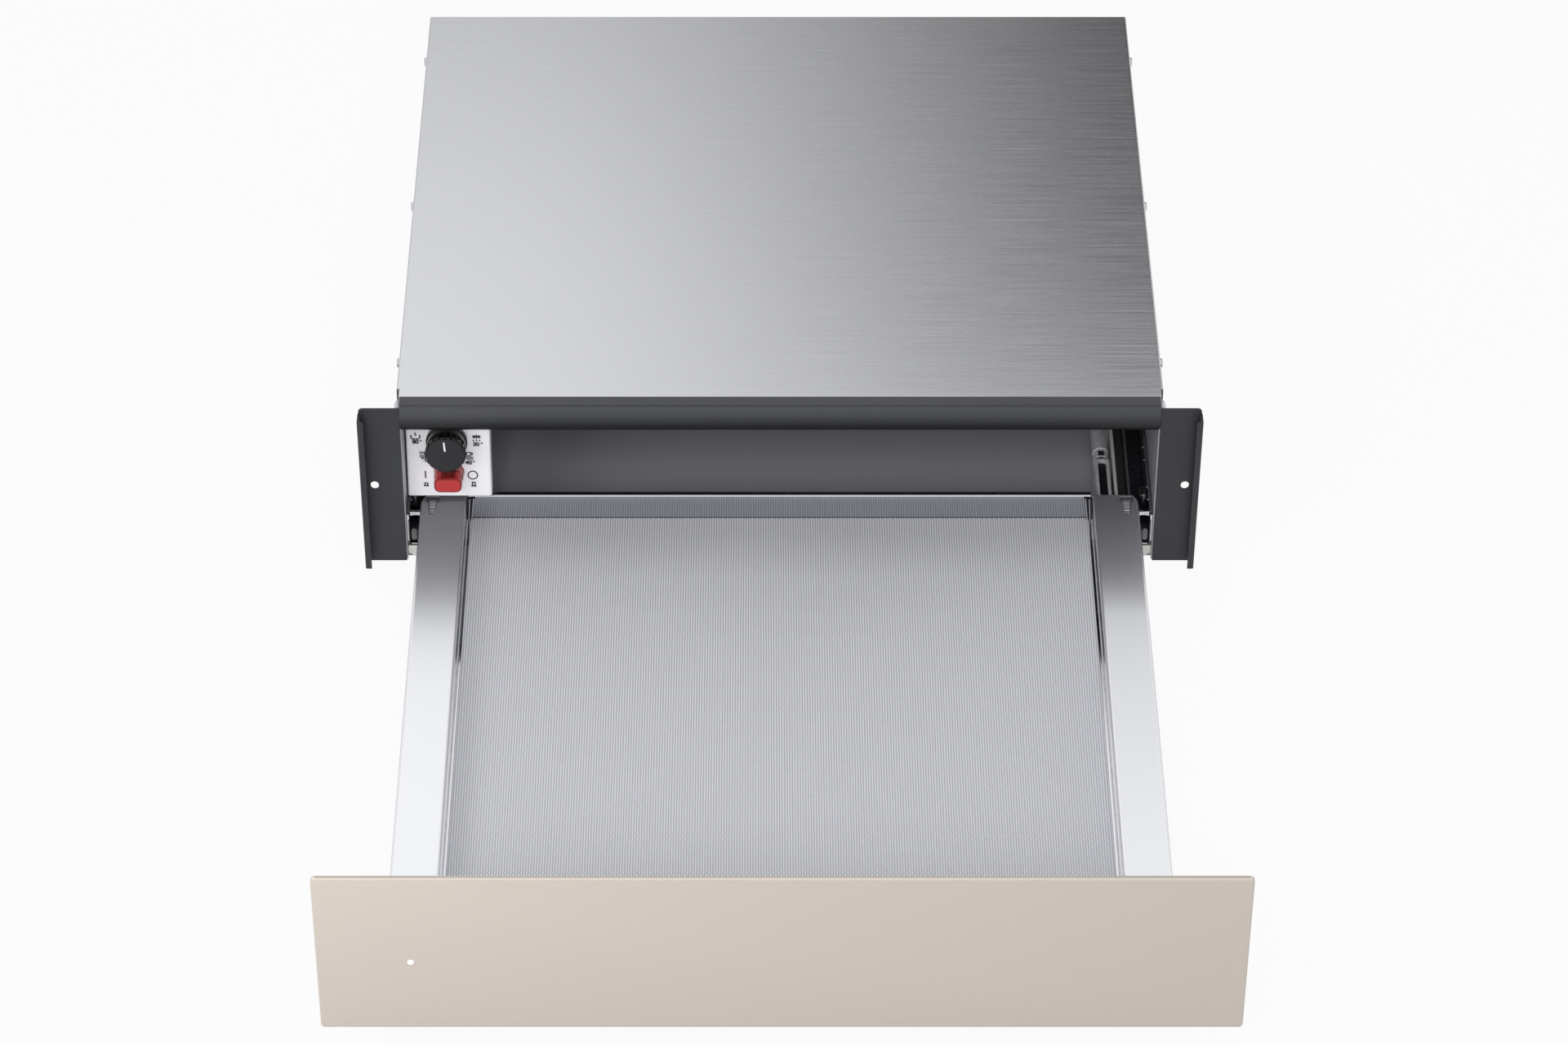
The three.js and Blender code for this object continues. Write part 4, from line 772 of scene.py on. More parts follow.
# 40: a cup over waves
marks += strokes([(-0.2235, 0.0372), (-0.2235, 0.0353), (-0.2228, 0.0345), (-0.2211, 0.0345),
                  (-0.2204, 0.0353), (-0.2204, 0.0372), (-0.2235, 0.0372)])
marks += strokes([(-0.2204, 0.0368), (-0.2193, 0.0368), (-0.2193, 0.0354), (-0.2204, 0.0352)])
marks += wave(-0.2238, -0.2190, 0.0332) + wave(-0.2238, -0.2190, 0.0317)
# 60: heat over a plate
for x in (-0.2564, -0.2550, -0.2536, -0.2522):
    marks += strokes([(x, 0.0380), (x - 0.0003, 0.0373), (x + 0.0003, 0.0365), (x, 0.0358)])
marks += wave(-0.2568, -0.2518, 0.0345) + wave(-0.2568, -0.2518, 0.0331)
# on and off, and the button's two places
marks += [bar((-0.2534, 0.0154), (-0.2534, 0.0212), 0.00065)]
marks += ring((-0.21955, 0.0178), 0.0034, 0.00055)
for x, low, high in ((-0.2531, 0.0088, 0.0110), (-0.2191, 0.0085, 0.0116)):
    marks += [bar((x - 0.0016, low), (x + 0.0016, low), 0.0007)]
    marks += strokes([(x - 0.0010, low), (x - 0.0010, high), (x + 0.0010, high), (x + 0.0010, low)], 0.0006)
alone(marks[0])
for mark in marks:
    mark.select_set(True)
bpy.ops.object.join()
panel_marks = bpy.context.object
panel_marks.name = "panel_marks"
lean(panel_marks)
black_ink_and_shade = finish("black_ink_and_shade", linear(24, 24, 27), 0.55)
grain(black_ink_and_shade, 3000, 3, colour=0.15)
wear(panel_marks, black_ink_and_shade, "cabinet", "black_plastic")


# Temperature knob.
# A black moulded knob: a barrel with twenty broad flutes, a plain skirt at the panel, a satin disc
# let into its face and one inlaid white line that points to the temperature.

FLUTES = 20
KNOB_RADIUS, KNOB_LENGTH = 0.0139, 0.0156
KNOB_FACE, FLUTE_END = -0.0200, -0.0106
bpy.ops.object.select_all(action="DESELECT")
bpy.ops.mesh.primitive_cylinder_add(
    vertices=FLUTES * 6, radius=KNOB_RADIUS, depth=KNOB_LENGTH, location=(0, KNOB_FACE + KNOB_LENGTH / 2, 0),
    rotation=(math.radians(90), 0, 0),
)
knob = bpy.context.object
knob.name = "knob_cap"
settle(knob)
for y in (KNOB_FACE + 0.0007, KNOB_FACE + 0.0009, FLUTE_END - 0.0002, FLUTE_END):
    pick(knob, "FACE", lambda face: True)
    bpy.ops.mesh.bisect(plane_co=(0, y, 0), plane_no=(0, 1, 0))


def rib_step(vert):
    """Place of a point between two ribs, from 0 to 5."""
    return round(math.degrees(math.atan2(vert.co.z, vert.co.x)) * FLUTES / 60) % 6


hollow = ((1, 0.994, 0.925), (2, 0.990, 0.905), (3, 0.988, 0.900), (4, 0.990, 0.905), (5, 0.994, 0.925))
for step, flat, deep in hollow:
    pick(knob, "VERT", lambda vert: rib_step(vert) == step and vert.co.y < KNOB_FACE + 0.0008)
    bpy.ops.transform.resize(value=(flat, 1, flat), center_override=(0, 0, 0))
    pick(knob, "VERT", lambda vert: rib_step(vert) == step
         and KNOB_FACE + 0.0008 < vert.co.y < FLUTE_END - 0.0001)
    bpy.ops.transform.resize(value=(deep, 1, deep), center_override=(0, 0, 0))
pick(knob, "FACE", lambda face: face.normal.y < -0.9 and middle(face).y < KNOB_FACE + 0.0001)
bpy.ops.mesh.inset(thickness=0.00015, depth=0)
bpy.ops.mesh.inset(thickness=0.0001, depth=-0.0010)
pick(knob, "FACE", lambda face: face.normal.y > 0.9)
bpy.ops.mesh.delete(type="FACE")
pick(knob, "EDGE", lambda edge: edge.is_boundary)
draw_out(0, 0.0004, 0)
bpy.ops.transform.resize(value=(1.062, 1, 1.062), center_override=(0, -0.004, 0))
draw_out(0, 0.0030, 0)
bpy.ops.mesh.edge_face_add()
close(knob)
ease(knob, 0.0003, 3, angle=40)
lean(knob, DIAL)
knob_plastic = finish("knob_plastic", linear(9, 9, 11), 0.15)
grain(knob_plastic, 2400, 12, colour=0.10, rough=0.08, detail=3)
wear(knob, knob_plastic, "knob", "black_plastic", "temperature_knob")

knob_disc = rod("knob_disc", (0, KNOB_FACE - 0.00002, 0), (0, KNOB_FACE + 0.0012, 0), 0.0136, 96)
pick(knob_disc, "FACE", lambda face: face.normal.y < -0.9)
bpy.ops.mesh.inset(thickness=0.0004, depth=0)
bpy.ops.mesh.inset(thickness=0.0002, depth=-0.00008)
close(knob_disc)
ease(knob_disc, 0.0002, 2, angle=50)
lean(knob_disc, DIAL)
satin_plastic = finish("satin_plastic", linear(24, 25, 28), 0.5)
grain(satin_plastic, 2600, 12, colour=0.10, rough=0.06, detail=3)
wear(knob_disc, satin_plastic, "knob", "black_plastic")

pointer = block("knob_pointer", (-0.0006, KNOB_FACE - 0.00005, 0.0033), (0.0006, KNOB_FACE + 0.0007, 0.0110))
pick(pointer, "EDGE", lambda edge: span(edge, "y") > 1e-4)
round_off(0.0003, 3)
close(pointer)
pointer.rotation_euler = (0, math.radians(-4.5), 0)
lean(pointer, DIAL)
white_inlay = finish("white_inlay", linear(238, 238, 240), 0.4)
grain(white_inlay, 1500, 4, colour=0.02)
wear(pointer, white_inlay, "knob", "white_panel")

turned_aluminium = finish("turned_aluminium", linear(176, 178, 182), 0.32, 1.0)
grain(turned_aluminium, (400, 2600, 400), 6, colour=0.06, rough=0.06)
dress(turned_aluminium, "knob_shaft")


# Power button and its sleeve.
# A push button moulded in red: a rounded block with a dark outline on its face and a ribbed patch
# along its top. It slides in a short glossy sleeve of paler red plastic. A thin black ring at the sleeve's
# mouth is painted shade, for the shadow in the gap around the button.

BUTTON_HALF_WIDTH, BUTTON_HALF_HEIGHT = 0.0098, 0.0058
BUTTON_FRONT, BUTTON_BACK = -0.018, -0.0012
RIB_PITCH, RIB_HALF = 0.0013, 0.00035
button_x, button_z = BUTTON
button = block(
    "button_cap", (button_x - BUTTON_HALF_WIDTH, BUTTON_FRONT, button_z - BUTTON_HALF_HEIGHT),
    (button_x + BUTTON_HALF_WIDTH, BUTTON_BACK, button_z + BUTTON_HALF_HEIGHT),
)
pick(button, "EDGE", lambda edge: span(edge, "y") > 1e-5)
round_off(0.0043, 9)
close(button)
ease(button, 0.0007, 4, angle=60)
pick(button, "FACE", lambda face: face.normal.y < -0.99 and face.calc_area() > 5e-5)
bpy.ops.mesh.inset(thickness=0.00035, depth=-0.00012)
close(button)
smooth(button)
ribs = []
for i in range(8):
    x = button_x - 0.00455 + i * RIB_PITCH
    rib = block("rib", (x - RIB_HALF, -0.0163, button_z + 0.0050), (x + RIB_HALF, -0.0020, button_z + 0.0060))
    ease(rib, 0.0002, 2, angle=50)
    ribs.append(rib)
patch = block(
    "button_ribs", (button_x - 0.0050, -0.0165, button_z + 0.0050),
    (button_x + 0.0052, -0.0020, button_z + 0.00584),
)
ease(patch, 0.0002, 2, angle=50)
alone(patch)
for rib in ribs:
    rib.select_set(True)
bpy.ops.object.join()
lean(patch)
lean(button)
red_cap = finish(
    "red_cap", linear(176, 44, 44), 0.34, IOR=1.49,
    Subsurface_Weight=0.2, Subsurface_Radius=(1.0, 0.12, 0.1), Subsurface_Scale=0.002,
)
grain(red_cap, 1600, 4, colour=0.06, rough=0.04)
wear(button, red_cap, "button", "red_plastic", "power_button")
dark_red = finish("dark_red", linear(112, 14, 16), 0.3, IOR=1.49)
grain(dark_red, 1600, 4, colour=0.08, rough=0.04)
wear(patch, dark_red, "button", "red_plastic")
button.data.materials.append(dark_red)
for face in button.data.polygons:
    if face.normal.y < -0.35 and face.area < 5e-5:
        face.material_index = 1


def button_bore():
    return oval_bar("bore", BUTTON, 0.01000, 0.0061, -0.02, 0.02)


sleeve = oval_bar("button_collar", BUTTON, 0.01045, 0.0066, -0.007, 0.003)
cut(sleeve, button_bore())
close(sleeve)
ease(sleeve, 0.00025, 2, angle=50)
lean(sleeve)
red_glaze = finish(
    "red_glaze", linear(222, 104, 102), 0.2, Transmission_Weight=0.25, Subsurface_Weight=0.3, IOR=1.49,
)
grain(red_glaze, 1200, 4, colour=0.05, rough=0.03)
wear(sleeve, red_glaze, "cabinet", "red_plastic", "button_sleeve")

# Painted shade: this black ring stands for the shadow in the gap between the button and its sleeve.
rim = oval_bar("button_shadow_ring", BUTTON, 0.01030, 0.0065, -0.0076, -0.0070)
cut(rim, button_bore())
close(rim)
lean(rim)
wear(rim, black_ink_and_shade, "cabinet", "black_plastic")


# Electrical parts behind the panel and in the duct.
# Thermostat and switch in the control box; fan, heating ring, cut-out and terminals in the duct.
# All are plain bought-in parts that keep their shape.

switch_plastic = finish("switch_plastic", linear(214, 208, 194), 0.45)
grain(switch_plastic, 900, 8, colour=0.05, rough=0.06)
dress(switch_plastic, "power_switch", "terminal_block")
dress(zinc_steel, "thermostat", "fan_bracket")
rolled_aluminium = finish("rolled_aluminium", linear(178, 180, 184), 0.36, 1.0)
grain(rolled_aluminium, (30, 900, 900), 8, colour=0.08, rough=0.07)
dress(rolled_aluminium, "fan_wheel", "thermal_cutout")
heater_sheath = finish("heater_sheath", linear(92, 90, 86), 0.5, 0.8)
grain(heater_sheath, 700, 12, colour=0.25, rough=0.12)
dress(heater_sheath, "heating_ring")
motor_lacquer = finish("motor_lacquer", linear(40, 41, 44), 0.45, 0.3)
grain(motor_lacquer, 800, 15, colour=0.12, rough=0.08)
dress(motor_lacquer, "fan_motor")
dress(bright_steel, "fan_shaft")


# Cord gland.
# A black nylon gland in the rear panel: a ribbed dome nut outside and a flat nut inside. It is
# empty, because no cord is shown.

gland_plastic = finish("gland_plastic", linear(38, 39, 42), 0.5)
grain(gland_plastic, 1200, 15, colour=0.1, rough=0.08)
dress(gland_plastic, "cord_gland")


# Runner brackets, rails, dampers and catch tracks.
# Each side has a black bracket on the floor, a zinc rail on it, a middle rail in trough form and
# a channel under the drawer. A grey damper tube and a slotted track lie on the inner side.

black_lacquer = finish("black_lacquer", linear(62, 63, 68), 0.3, 0.0, Coat_Weight=0.5, Coat_Roughness=0.12)
grain(black_lacquer, 500, 3, colour=0.08, rough=0.05)
dress(black_lacquer, "runner_bracket_left", "runner_bracket_right")
rail_zinc = finish("rail_zinc", linear(226, 224, 218), 0.5, 0.3)
grain(rail_zinc, (1500, 700, 1500), 20, colour=0.30, rough=0.12, detail=3)
dress(rail_zinc, "fixed_rail_left", "fixed_rail_right")
oiled_steel = finish("oiled_steel", linear(104, 105, 109), 0.36, 0.4)
grain(oiled_steel, (500, 120, 500), 8, colour=0.12, rough=0.08)
dress(oiled_steel, "middle_rail_left", "middle_rail_right", "drawer_rail_left", "drawer_rail_right")

DAMPER_X, DAMPER_Z = 0.2350, 0.0243
DAMPER_RADIUS = 0.0052


def along_damper(name, half_width, front, back, low, high):
    """A box on the damper's middle plane."""
    return block(name, (DAMPER_X - half_width, front, low), (DAMPER_X + half_width, back, high))


def weld(piece, tool):
    """Joins the tool onto the piece and takes the tool away."""
    bake(piece, "BOOLEAN", operation="UNION", solver="EXACT", object=tool)
    bpy.data.objects.remove(tool)


def damper(name):
    tube = rod(name, (DAMPER_X, 0.082, DAMPER_Z), (DAMPER_X, 0.226, DAMPER_Z), DAMPER_RADIUS, 48)
    pick(tube, "FACE", lambda face: face.normal.y < -0.9)
    bpy.ops.mesh.inset(thickness=0.0009, depth=0)
    draw_out(0, 0.006, 0)
    put_down()
    cut(tube, along_damper("window", 0.0022, 0.0830, 0.0905, DAMPER_Z + 0.001, DAMPER_Z + 0.009))
    weld(tube, along_damper("saddle", 0.003, 0.096, 0.116, 0.0052, DAMPER_Z))
    close(tube)
    ease(tube, 0.0003, 2, angle=45)
    return tube


def catch_track(name):
    track = along_damper(name, 0.0053, 0.020, 0.0817, 0.0052, 0.030)
    pick(track, "EDGE", lambda edge: middle(edge).y > 0.081 and middle(edge).z > 0.029)
    round_off(0.004, 2)
    put_down()
    slot = along_damper("slot", 0.0029, 0.018, 0.0768, 0.014, 0.032)
    pick(slot, "EDGE", lambda edge: span(edge, "z") > 1e-3 and middle(edge).y > 0.07)
    round_off(0.0026, 6)
    close(slot)
    cut(track, slot)
    close(track)
    ease(track, 0.0005, 2, angle=45)
    return track


def dark_core(name, half_width, front, back, top):
    core = along_damper(name, half_width, front, back, top - 0.002, top)
    ease(core, 0.0003, 2)
    return core


def tube_ring(name, front, back, radius):
    collar = rod(name, (DAMPER_X, front, DAMPER_Z), (DAMPER_X, back, DAMPER_Z), radius, 48)
    start, end = (DAMPER_X, front - 0.01, DAMPER_Z), (DAMPER_X, back + 0.01, DAMPER_Z)
    cut(collar, rod("bore", start, end, radius - 0.0010, 48))
    ease(collar, 0.0002, 2)
    return collar


damper_plastic = finish(
    "damper_plastic", linear(200, 201, 206), 0.3, 0.2, Coat_Weight=0.3, Coat_Roughness=0.15,
)
grain(damper_plastic, (900, 200, 900), 6, colour=0.06, rough=0.06)
wear_both(damper("damper_right_tube"), damper_plastic, "cabinet", "grey_plastic", "damper_right")
track_right = catch_track("catch_track_right_body")
wear_both(track_right, damper_plastic, "cabinet", "grey_plastic", "catch_track_right")
deep_black = finish("deep_black", linear(20, 20, 22), 0.5)
grain(deep_black, 900, 6, colour=0.2, rough=0.05)
pale_plastic = finish("pale_plastic", linear(226, 227, 231), 0.3)
grain(pale_plastic, 900, 6, colour=0.04, rough=0.05)
for part, material, slot_name in (
    (dark_core("track_core_right", 0.00288, 0.0205, 0.0767, 0.0272), deep_black, "black_plastic"),
    (dark_core("damper_core_right", 0.0022, 0.0831, 0.0904, DAMPER_Z + 0.0038), deep_black, "black_plastic"),
    (tube_ring("damper_ring_right", 0.0911, 0.0919, 0.0056), pale_plastic, "grey_plastic"),
    (tube_ring("damper_end_right", 0.0820, 0.0826, 0.0055), pale_plastic, "grey_plastic"),
):
    wear_both(part, material, "cabinet", slot_name)


# Bracket fittings.
# On each bracket: two pressed bosses in glossy black lacquer, four rivets, a grey edge strip
# along its top, a bright edge at its front and a zinc foot with a hollow corner.

def pressed_boss(name, low, high, radius):
    boss = block(name, low, high)
    pick(boss, "EDGE", lambda edge: True)
    round_off(radius, 6)
    close(boss)
    shade(boss, 60)
    return boss


def edge_strip(name):
    strip = block(name, (0.2652, 0.0045, 0.0402), (0.2669, 0.0905, 0.0411))
    pick(strip, "EDGE", lambda edge: middle(edge).y > 0.09 and span(edge, "z") > 0.0005)
    round_off(0.0008, 5)
    close(strip)
    ease(strip, 0.0002, 2)
    return strip


def front_edge(name):
    step_z = 0.0362
    edge = block(name, (0.2661, 0.0010, 0.0165), (0.2671, 0.0028, 0.0405))
    pick(edge, "FACE", lambda face: face.normal.x < -0.9)
    bpy.ops.mesh.bisect(plane_co=(0, 0, step_z), plane_no=(0, 0, 1))
    pick(edge, "FACE", lambda face: face.normal.x < -0.9 and middle(face).z > step_z)
    draw_out(-0.0007, 0, 0)
    close(edge)
    ease(edge, 0.0002, 2)
    return edge


def foot_plate(name):
    foot = block(name, (0.2576, 0.0020, 0.0016), (0.2672, 0.0030, 0.0112))
    cut(foot, rod("hollow", (0.2676, 0.0, -0.0012), (0.2676, 0.006, -0.0012), 0.0052, 48))
    close(foot)
    ease(foot, 0.0002, 2)
    return foot


wet_lacquer = finish(
    "wet_lacquer", linear(30, 31, 34), 0.16, Coat_Weight=1.0, Coat_Roughness=0.03, Coat_IOR=1.8,
)
grain(wet_lacquer, 400, 2, colour=0.06, rough=0.03)
rear_boss = pressed_boss("boss_rear_right", (0.2592, 0.0270, 0.0250), (0.2665, 0.0400, 0.0378), 0.0034)
front_boss = pressed_boss("boss_front_right", (0.2595, 0.0040, 0.0130), (0.2665, 0.0140, 0.0245), 0.0030)
fittings = [
    (rear_boss, wet_lacquer, "black_paint"), (front_boss, wet_lacquer, "black_paint"),
    (edge_strip("bracket_edge_right"), oiled_steel, "zinc_steel"),
    (front_edge("bracket_front_right"), bright_steel, "zinc_steel"),
    (foot_plate("bracket_foot_right"), rail_zinc, "zinc_steel"),
]
for i, y in enumerate((0.0830, 0.0680, 0.0370, 0.0230)):
    rivet = rod(f"bracket_rivet_{i + 1}_right", (0.2645, y, 0.0372), (0.2657, y, 0.0372), 0.0011, 16)
    ease(rivet, 0.0004, 3, angle=50)
    fittings.append((rivet, bright_steel, "chrome"))
for part, material, slot_name in fittings:
    wear_both(part, material, "cabinet", slot_name)


# Guide studs.
# Two bright turned studs on each side, one above the other, that stand out of the black bracket
# and guide the drawer's side. Each has a waist and a rounded nose.

STUD_Y = 0.008
WAIST_FRONT, WAIST_BACK = 0.2600, 0.2620


def guide_stud(name, z):
    stud = rod(name, (0.2577, STUD_Y, z), (0.2653, STUD_Y, z), 0.0024, 32)
    pick(stud, "FACE", lambda face: abs(face.normal.x) < 0.5)
    for x in (WAIST_FRONT, WAIST_BACK):
        bpy.ops.mesh.select_all(action="SELECT")
        bpy.ops.mesh.bisect(plane_co=(x, 0, 0), plane_no=(1, 0, 0))
    put_down()
    pick(stud, "FACE", lambda face: abs(face.normal.x) < 0.5
         and WAIST_FRONT + 0.0001 < middle(face).x < WAIST_BACK - 0.0001)
    bpy.ops.transform.resize(value=(1, 0.78, 0.78), center_override=(0.261, STUD_Y, z))
    close(stud)
    ease(stud, 0.0005, 3, angle=30)
    return stud


for height, z in (("upper", 0.0369), ("lower", 0.0082)):
    stud = guide_stud(f"guide_stud_{height}_right_pin", z)
    wear_both(stud, bright_steel, "cabinet", "chrome", f"guide_stud_{height}_right")


# Drawer tray.
# One polished sheet: a front wall, a floor and a nearly upright rear wall, whose top curls back
# into a narrow flat rim.

DRAWER_FRONT = -0.4752
TRAY_HALF = 0.22415
TRAY_FLOOR = 0.0170
CURL_Y, CURL_Z, CURL_RADIUS = 0.0243, 0.0352, 0.0041
bright_annealed = finish("bright_annealed", linear(190, 191, 196), 0.03, 1.0)
grain(bright_annealed, 8, 15, colour=0.015, rough=0.02, detail=1)
tray_section = [
    (0, DRAWER_FRONT, 0.038), (0, DRAWER_FRONT, TRAY_FLOOR), (0, 0.0231, TRAY_FLOOR), (0, CURL_Y, CURL_Z),
]
for step in range(1, 6):
    turn = math.radians(15 * step)
    back, up = CURL_RADIUS * (1 - math.cos(turn)) * 0.62, CURL_RADIUS * math.sin(turn)
    tray_section.append((0, CURL_Y + back, CURL_Z + up))
tray_section.append((0, 0.0289, 0.0392))
tray = bent_sheet("tray_shell", tray_section, (1, 0, 0), (-TRAY_HALF, TRAY_HALF), 0.0008, side=1)
ease(tray, 0.00012, 1, angle=40)
wear(tray, bright_annealed, "drawer", "polished_steel", "drawer_tray")


# Anti-slip mat.
# A grey silicone mat on the tray's floor, with small round studs in staggered columns 1.8 mm apart.
# The studs are in its material, because there are nearly seventy thousand of them. Their lighter tint over
# the ground is painted highlight; their bump is real relief.

PITCH_ACROSS, PITCH_ALONG, STUD_RADIUS = 0.003558, 0.001818, 0.00058
mat = block("mat_sheet", (-0.2227, -0.4733, 0.0182), (0.2227, 0.0228, 0.0200))
ease(mat, 0.0003, 3)
mat_silicone = finish("mat_silicone", linear(186, 187, 192), 0.62)
tree = mat_silicone.node_tree
shader = tree.nodes["Principled BSDF"]
place = add(tree, "TexCoord", {}).outputs["Object"]
distances = []
for shift in (0.0, 0.5):
    cells = {0: place, 1: (1 / PITCH_ACROSS, 1 / PITCH_ALONG, 0), 2: (shift, shift, 0)}
    cell = add(tree, "VectorMath", cells, operation="MULTIPLY_ADD").outputs[0]
    inside = add(tree, "VectorMath", {0: cell}, operation="FRACTION").outputs[0]
    centred = add(tree, "VectorMath", {0: inside, 1: (0.5, 0.5, 0)}, operation="SUBTRACT").outputs[0]
    pitch = (PITCH_ACROSS, PITCH_ALONG, 0)
    sized = add(tree, "VectorMath", {0: centred, 1: pitch}, operation="MULTIPLY").outputs[0]
    distances.append(add(tree, "VectorMath", {0: sized}, operation="LENGTH").outputs["Value"])
nearest = add(tree, "Math", {0: distances[0], 1: distances[1]}, operation="MINIMUM").outputs[0]
dot = ramp(tree, nearest, STUD_RADIUS * 0.55, STUD_RADIUS * 1.45, 1.0, 0.0)
# Painted highlight: the studs are tinted lighter than the ground between them.
ground, raised = (*linear(160, 161, 166), 1), (*linear(230, 231, 236), 1)
tint = add(tree, "Mix", {"Factor": dot, "A": ground, "B": raised}, data_type="RGBA")
tree.links.new(tint.outputs["Result"], shader.inputs["Base Color"])
relief = add(tree, "Bump", {"Distance": 0.00022, "Height": dot})
tree.links.new(relief.outputs[0], shader.inputs["Normal"])
wear(mat, mat_silicone, "drawer", "grey_silicone", "anti_slip_mat")


# Drawer sides.
# Steel channels, open below, that run over the telescopic rails, with a satin top and a polished
# inner wall. The outer rear corner is cut at a slant and rounded, and the catch is let in there.

SIDE_SHEET = 0.0008
WALL_X, SIDE_X = 0.22587, 0.2570
SIDE_FOOT, SIDE_TOP = 0.0159, 0.0400
SIDE_REAR = 0.0234
CATCH_X = 0.2490


def narrowed(piece, x_share, y):
    """Narrows the part of a catch in front of this place about the catch's middle."""
    pick(piece, "VERT", lambda vert: vert.co.y < y)
    bpy.ops.transform.resize(value=(x_share, 1, 1), center_override=(CATCH_X, 0, 0))
    put_down()


def drawer_side(name):
    section = [
        (0.2139, 0, SIDE_FOOT), (WALL_X, 0, SIDE_FOOT), (WALL_X, 0, SIDE_TOP), (SIDE_X, 0, SIDE_TOP),
        (SIDE_X, 0, 0.0080),
    ]
    channel = bent_sheet(
        name, section, (0, 1, 0), (DRAWER_FRONT, SIDE_REAR), SIDE_SHEET, side=1, radius=0.0015, segments=5,
    )
    outward = Vector((0.0062, 0.0035, 0)).normalized()
    corner = block("corner", (-0.015, -0.015, -0.01), (0.015, 0.015, 0.05))
    corner.rotation_euler = (0, 0, math.atan2(outward.y, outward.x))
    corner.location = Vector((0.2555, 0.0201, 0)) + outward * 0.015
    settle(corner)
    cut(channel, corner)
    pick(channel, "EDGE", lambda edge: span(edge, "z") > 0.01 and middle(edge).x > 0.2520
         and middle(edge).y > 0.008)
    round_off(0.0020, 5)
    put_down()
    recess = block("recess", (CATCH_X - 0.00345, 0.0011, 0.037), (CATCH_X + 0.00345, 0.0185, 0.042))
    narrowed(recess, 0.60, 0.005)
    cut(channel, recess)
    cut(channel, block("step", (CATCH_X - 0.0046, 0.0148, 0.0375), (CATCH_X + 0.0046, 0.0214, 0.042)))
    close(channel)
    ease(channel, 0.0002, 2, angle=40)
    return channel


polished_steel = finish("polished_steel", linear(236, 237, 241), 0.12, 1.0)
grain(polished_steel, 8, 30, colour=0.015, rough=0.02, detail=1)
satin_polish = finish("satin_polish", linear(246, 247, 251), 0.34, 0.90)
grain(satin_polish, (1800, 12, 1800), 0.6, colour=0.02, rough=0.02, detail=2)
side_right = drawer_side("drawer_side_right")
side_left = other_side(side_right, "drawer_side_left")
for channel, node in ((side_right, "side_profile_right"), (side_left, "side_profile_left")):
    wear(channel, satin_polish, "drawer", "polished_steel", node)
    channel.data.materials.append(polished_steel)
    for face in channel.data.polygons:
        if abs(face.normal.x) > 0.9 and abs(face.center.x) < 0.23:
            face.material_index = 1


# Margins, seals and beads beside the mat.
# From the mat outwards on each side: a polished margin, then a black rubber seal with a thin bright
# bead on it. A black rubber wedge is painted shade for the dark gap at each rear corner of the tray, and its
# two thin bright beads are painted highlights for the gap's edges.

STRIP_FOOT = 0.0172


def margin(name):
    strip = block(name, (0.2228, DRAWER_FRONT + 0.002, STRIP_FOOT), (0.2246, 0.0218, 0.0199))
    ease(strip, 0.0002, 2)
    return strip


def seal(name):
    strip = block(name, (0.2247, DRAWER_FRONT + 0.001, STRIP_FOOT), (0.2258, 0.0226, 0.0195))
    ease(strip, 0.0002, 2)
    return strip


def bead(name):
    wire = rod(name, (0.2249, DRAWER_FRONT + 0.001, 0.0198), (0.2249, 0.0222, 0.0198), 0.00030, 16)
    ease(wire, 0.0001, 1)
    return wire


# Painted shade: a black wedge that fills the dark gap between the tray's rear wall and the side.
def corner_shade_wedge(name):
    wedge = block(name, (0.2214, 0.0208, 0.0190), (0.2258, 0.0228, 0.0386))
    pick(wedge, "VERT", lambda vert: vert.co.x < 0.223 and vert.co.z > 0.03)
    bpy.ops.transform.translate(value=(-0.0022, 0.0012, 0))
    close(wedge)
    ease(wedge, 0.0003, 2)
    return wedge


# Painted highlight: two thin bright wires for the lit edges of that gap.
def corner_highlight_bead(name):
    wire = rod(name, (0.2220, 0.0206, 0.0194), (0.2200, 0.0216, 0.0384), 0.00032, 12)
    weld(wire, rod("second", (0.2240, 0.0206, 0.0194), (0.2228, 0.0214, 0.0384), 0.00030, 12))
    close(wire)
    smooth(wire)
    return wire


margin_steel = finish("margin_steel", linear(222, 223, 227), 0.08, 1.0)
grain(margin_steel, 8, 4, colour=0.015, rough=0.02, detail=1)
strip_rubber = finish("strip_rubber", linear(22, 22, 25), 0.55)
grain(strip_rubber, (700, 90, 700), 10, colour=0.2, rough=0.08)
bead_steel = finish("bead_steel", linear(206, 207, 211), 0.4, 0.35)
grain(bead_steel, (900, 160, 900), 10, colour=0.35, rough=0.08, detail=2)
wear_both(margin("tray_margin_right"), margin_steel, "drawer", "polished_steel")
wear_both(seal("seal_right"), strip_rubber, "drawer", "black_rubber", "seal_strip_right")
wear_both(bead("bead_right"), bead_steel, "drawer", "chrome")
for part, material, slot_name in (
    (corner_shade_wedge("corner_seal_right"), strip_rubber, "black_rubber"),
    (corner_highlight_bead("corner_bead_right"), bead_steel, "chrome"),
):
    wear_both(part, material, "drawer", slot_name)


# Rear catches.
# A small grey catch let into the top of each drawer side near its rear end: a narrowing body with
# a hole at its front, a bright rounded bar, a tongue, and a darker cover behind the tongue.

def rear_catch(name):
    catch = block(name, (CATCH_X - 0.00315, 0.0014, 0.0314), (CATCH_X + 0.00315, 0.0182, 0.0388))
    narrowed(catch, 0.60, 0.005)
    cut(catch, block("hole", (0.2482, 0.0030, 0.034), (0.2499, 0.0062, 0.041)))
    close(catch)
    ease(catch, 0.0003, 2, angle=40)
    tongue = block("tongue", (0.24640, 0.0098, 0.0380), (0.25165, 0.0178, 0.0397))
    narrowed(tongue, 0.82, 0.012)
    close(tongue)
    ease(tongue, 0.0004, 3, angle=40)
    alone(catch)
    tongue.select_set(True)
    bpy.ops.object.join()
    return catch


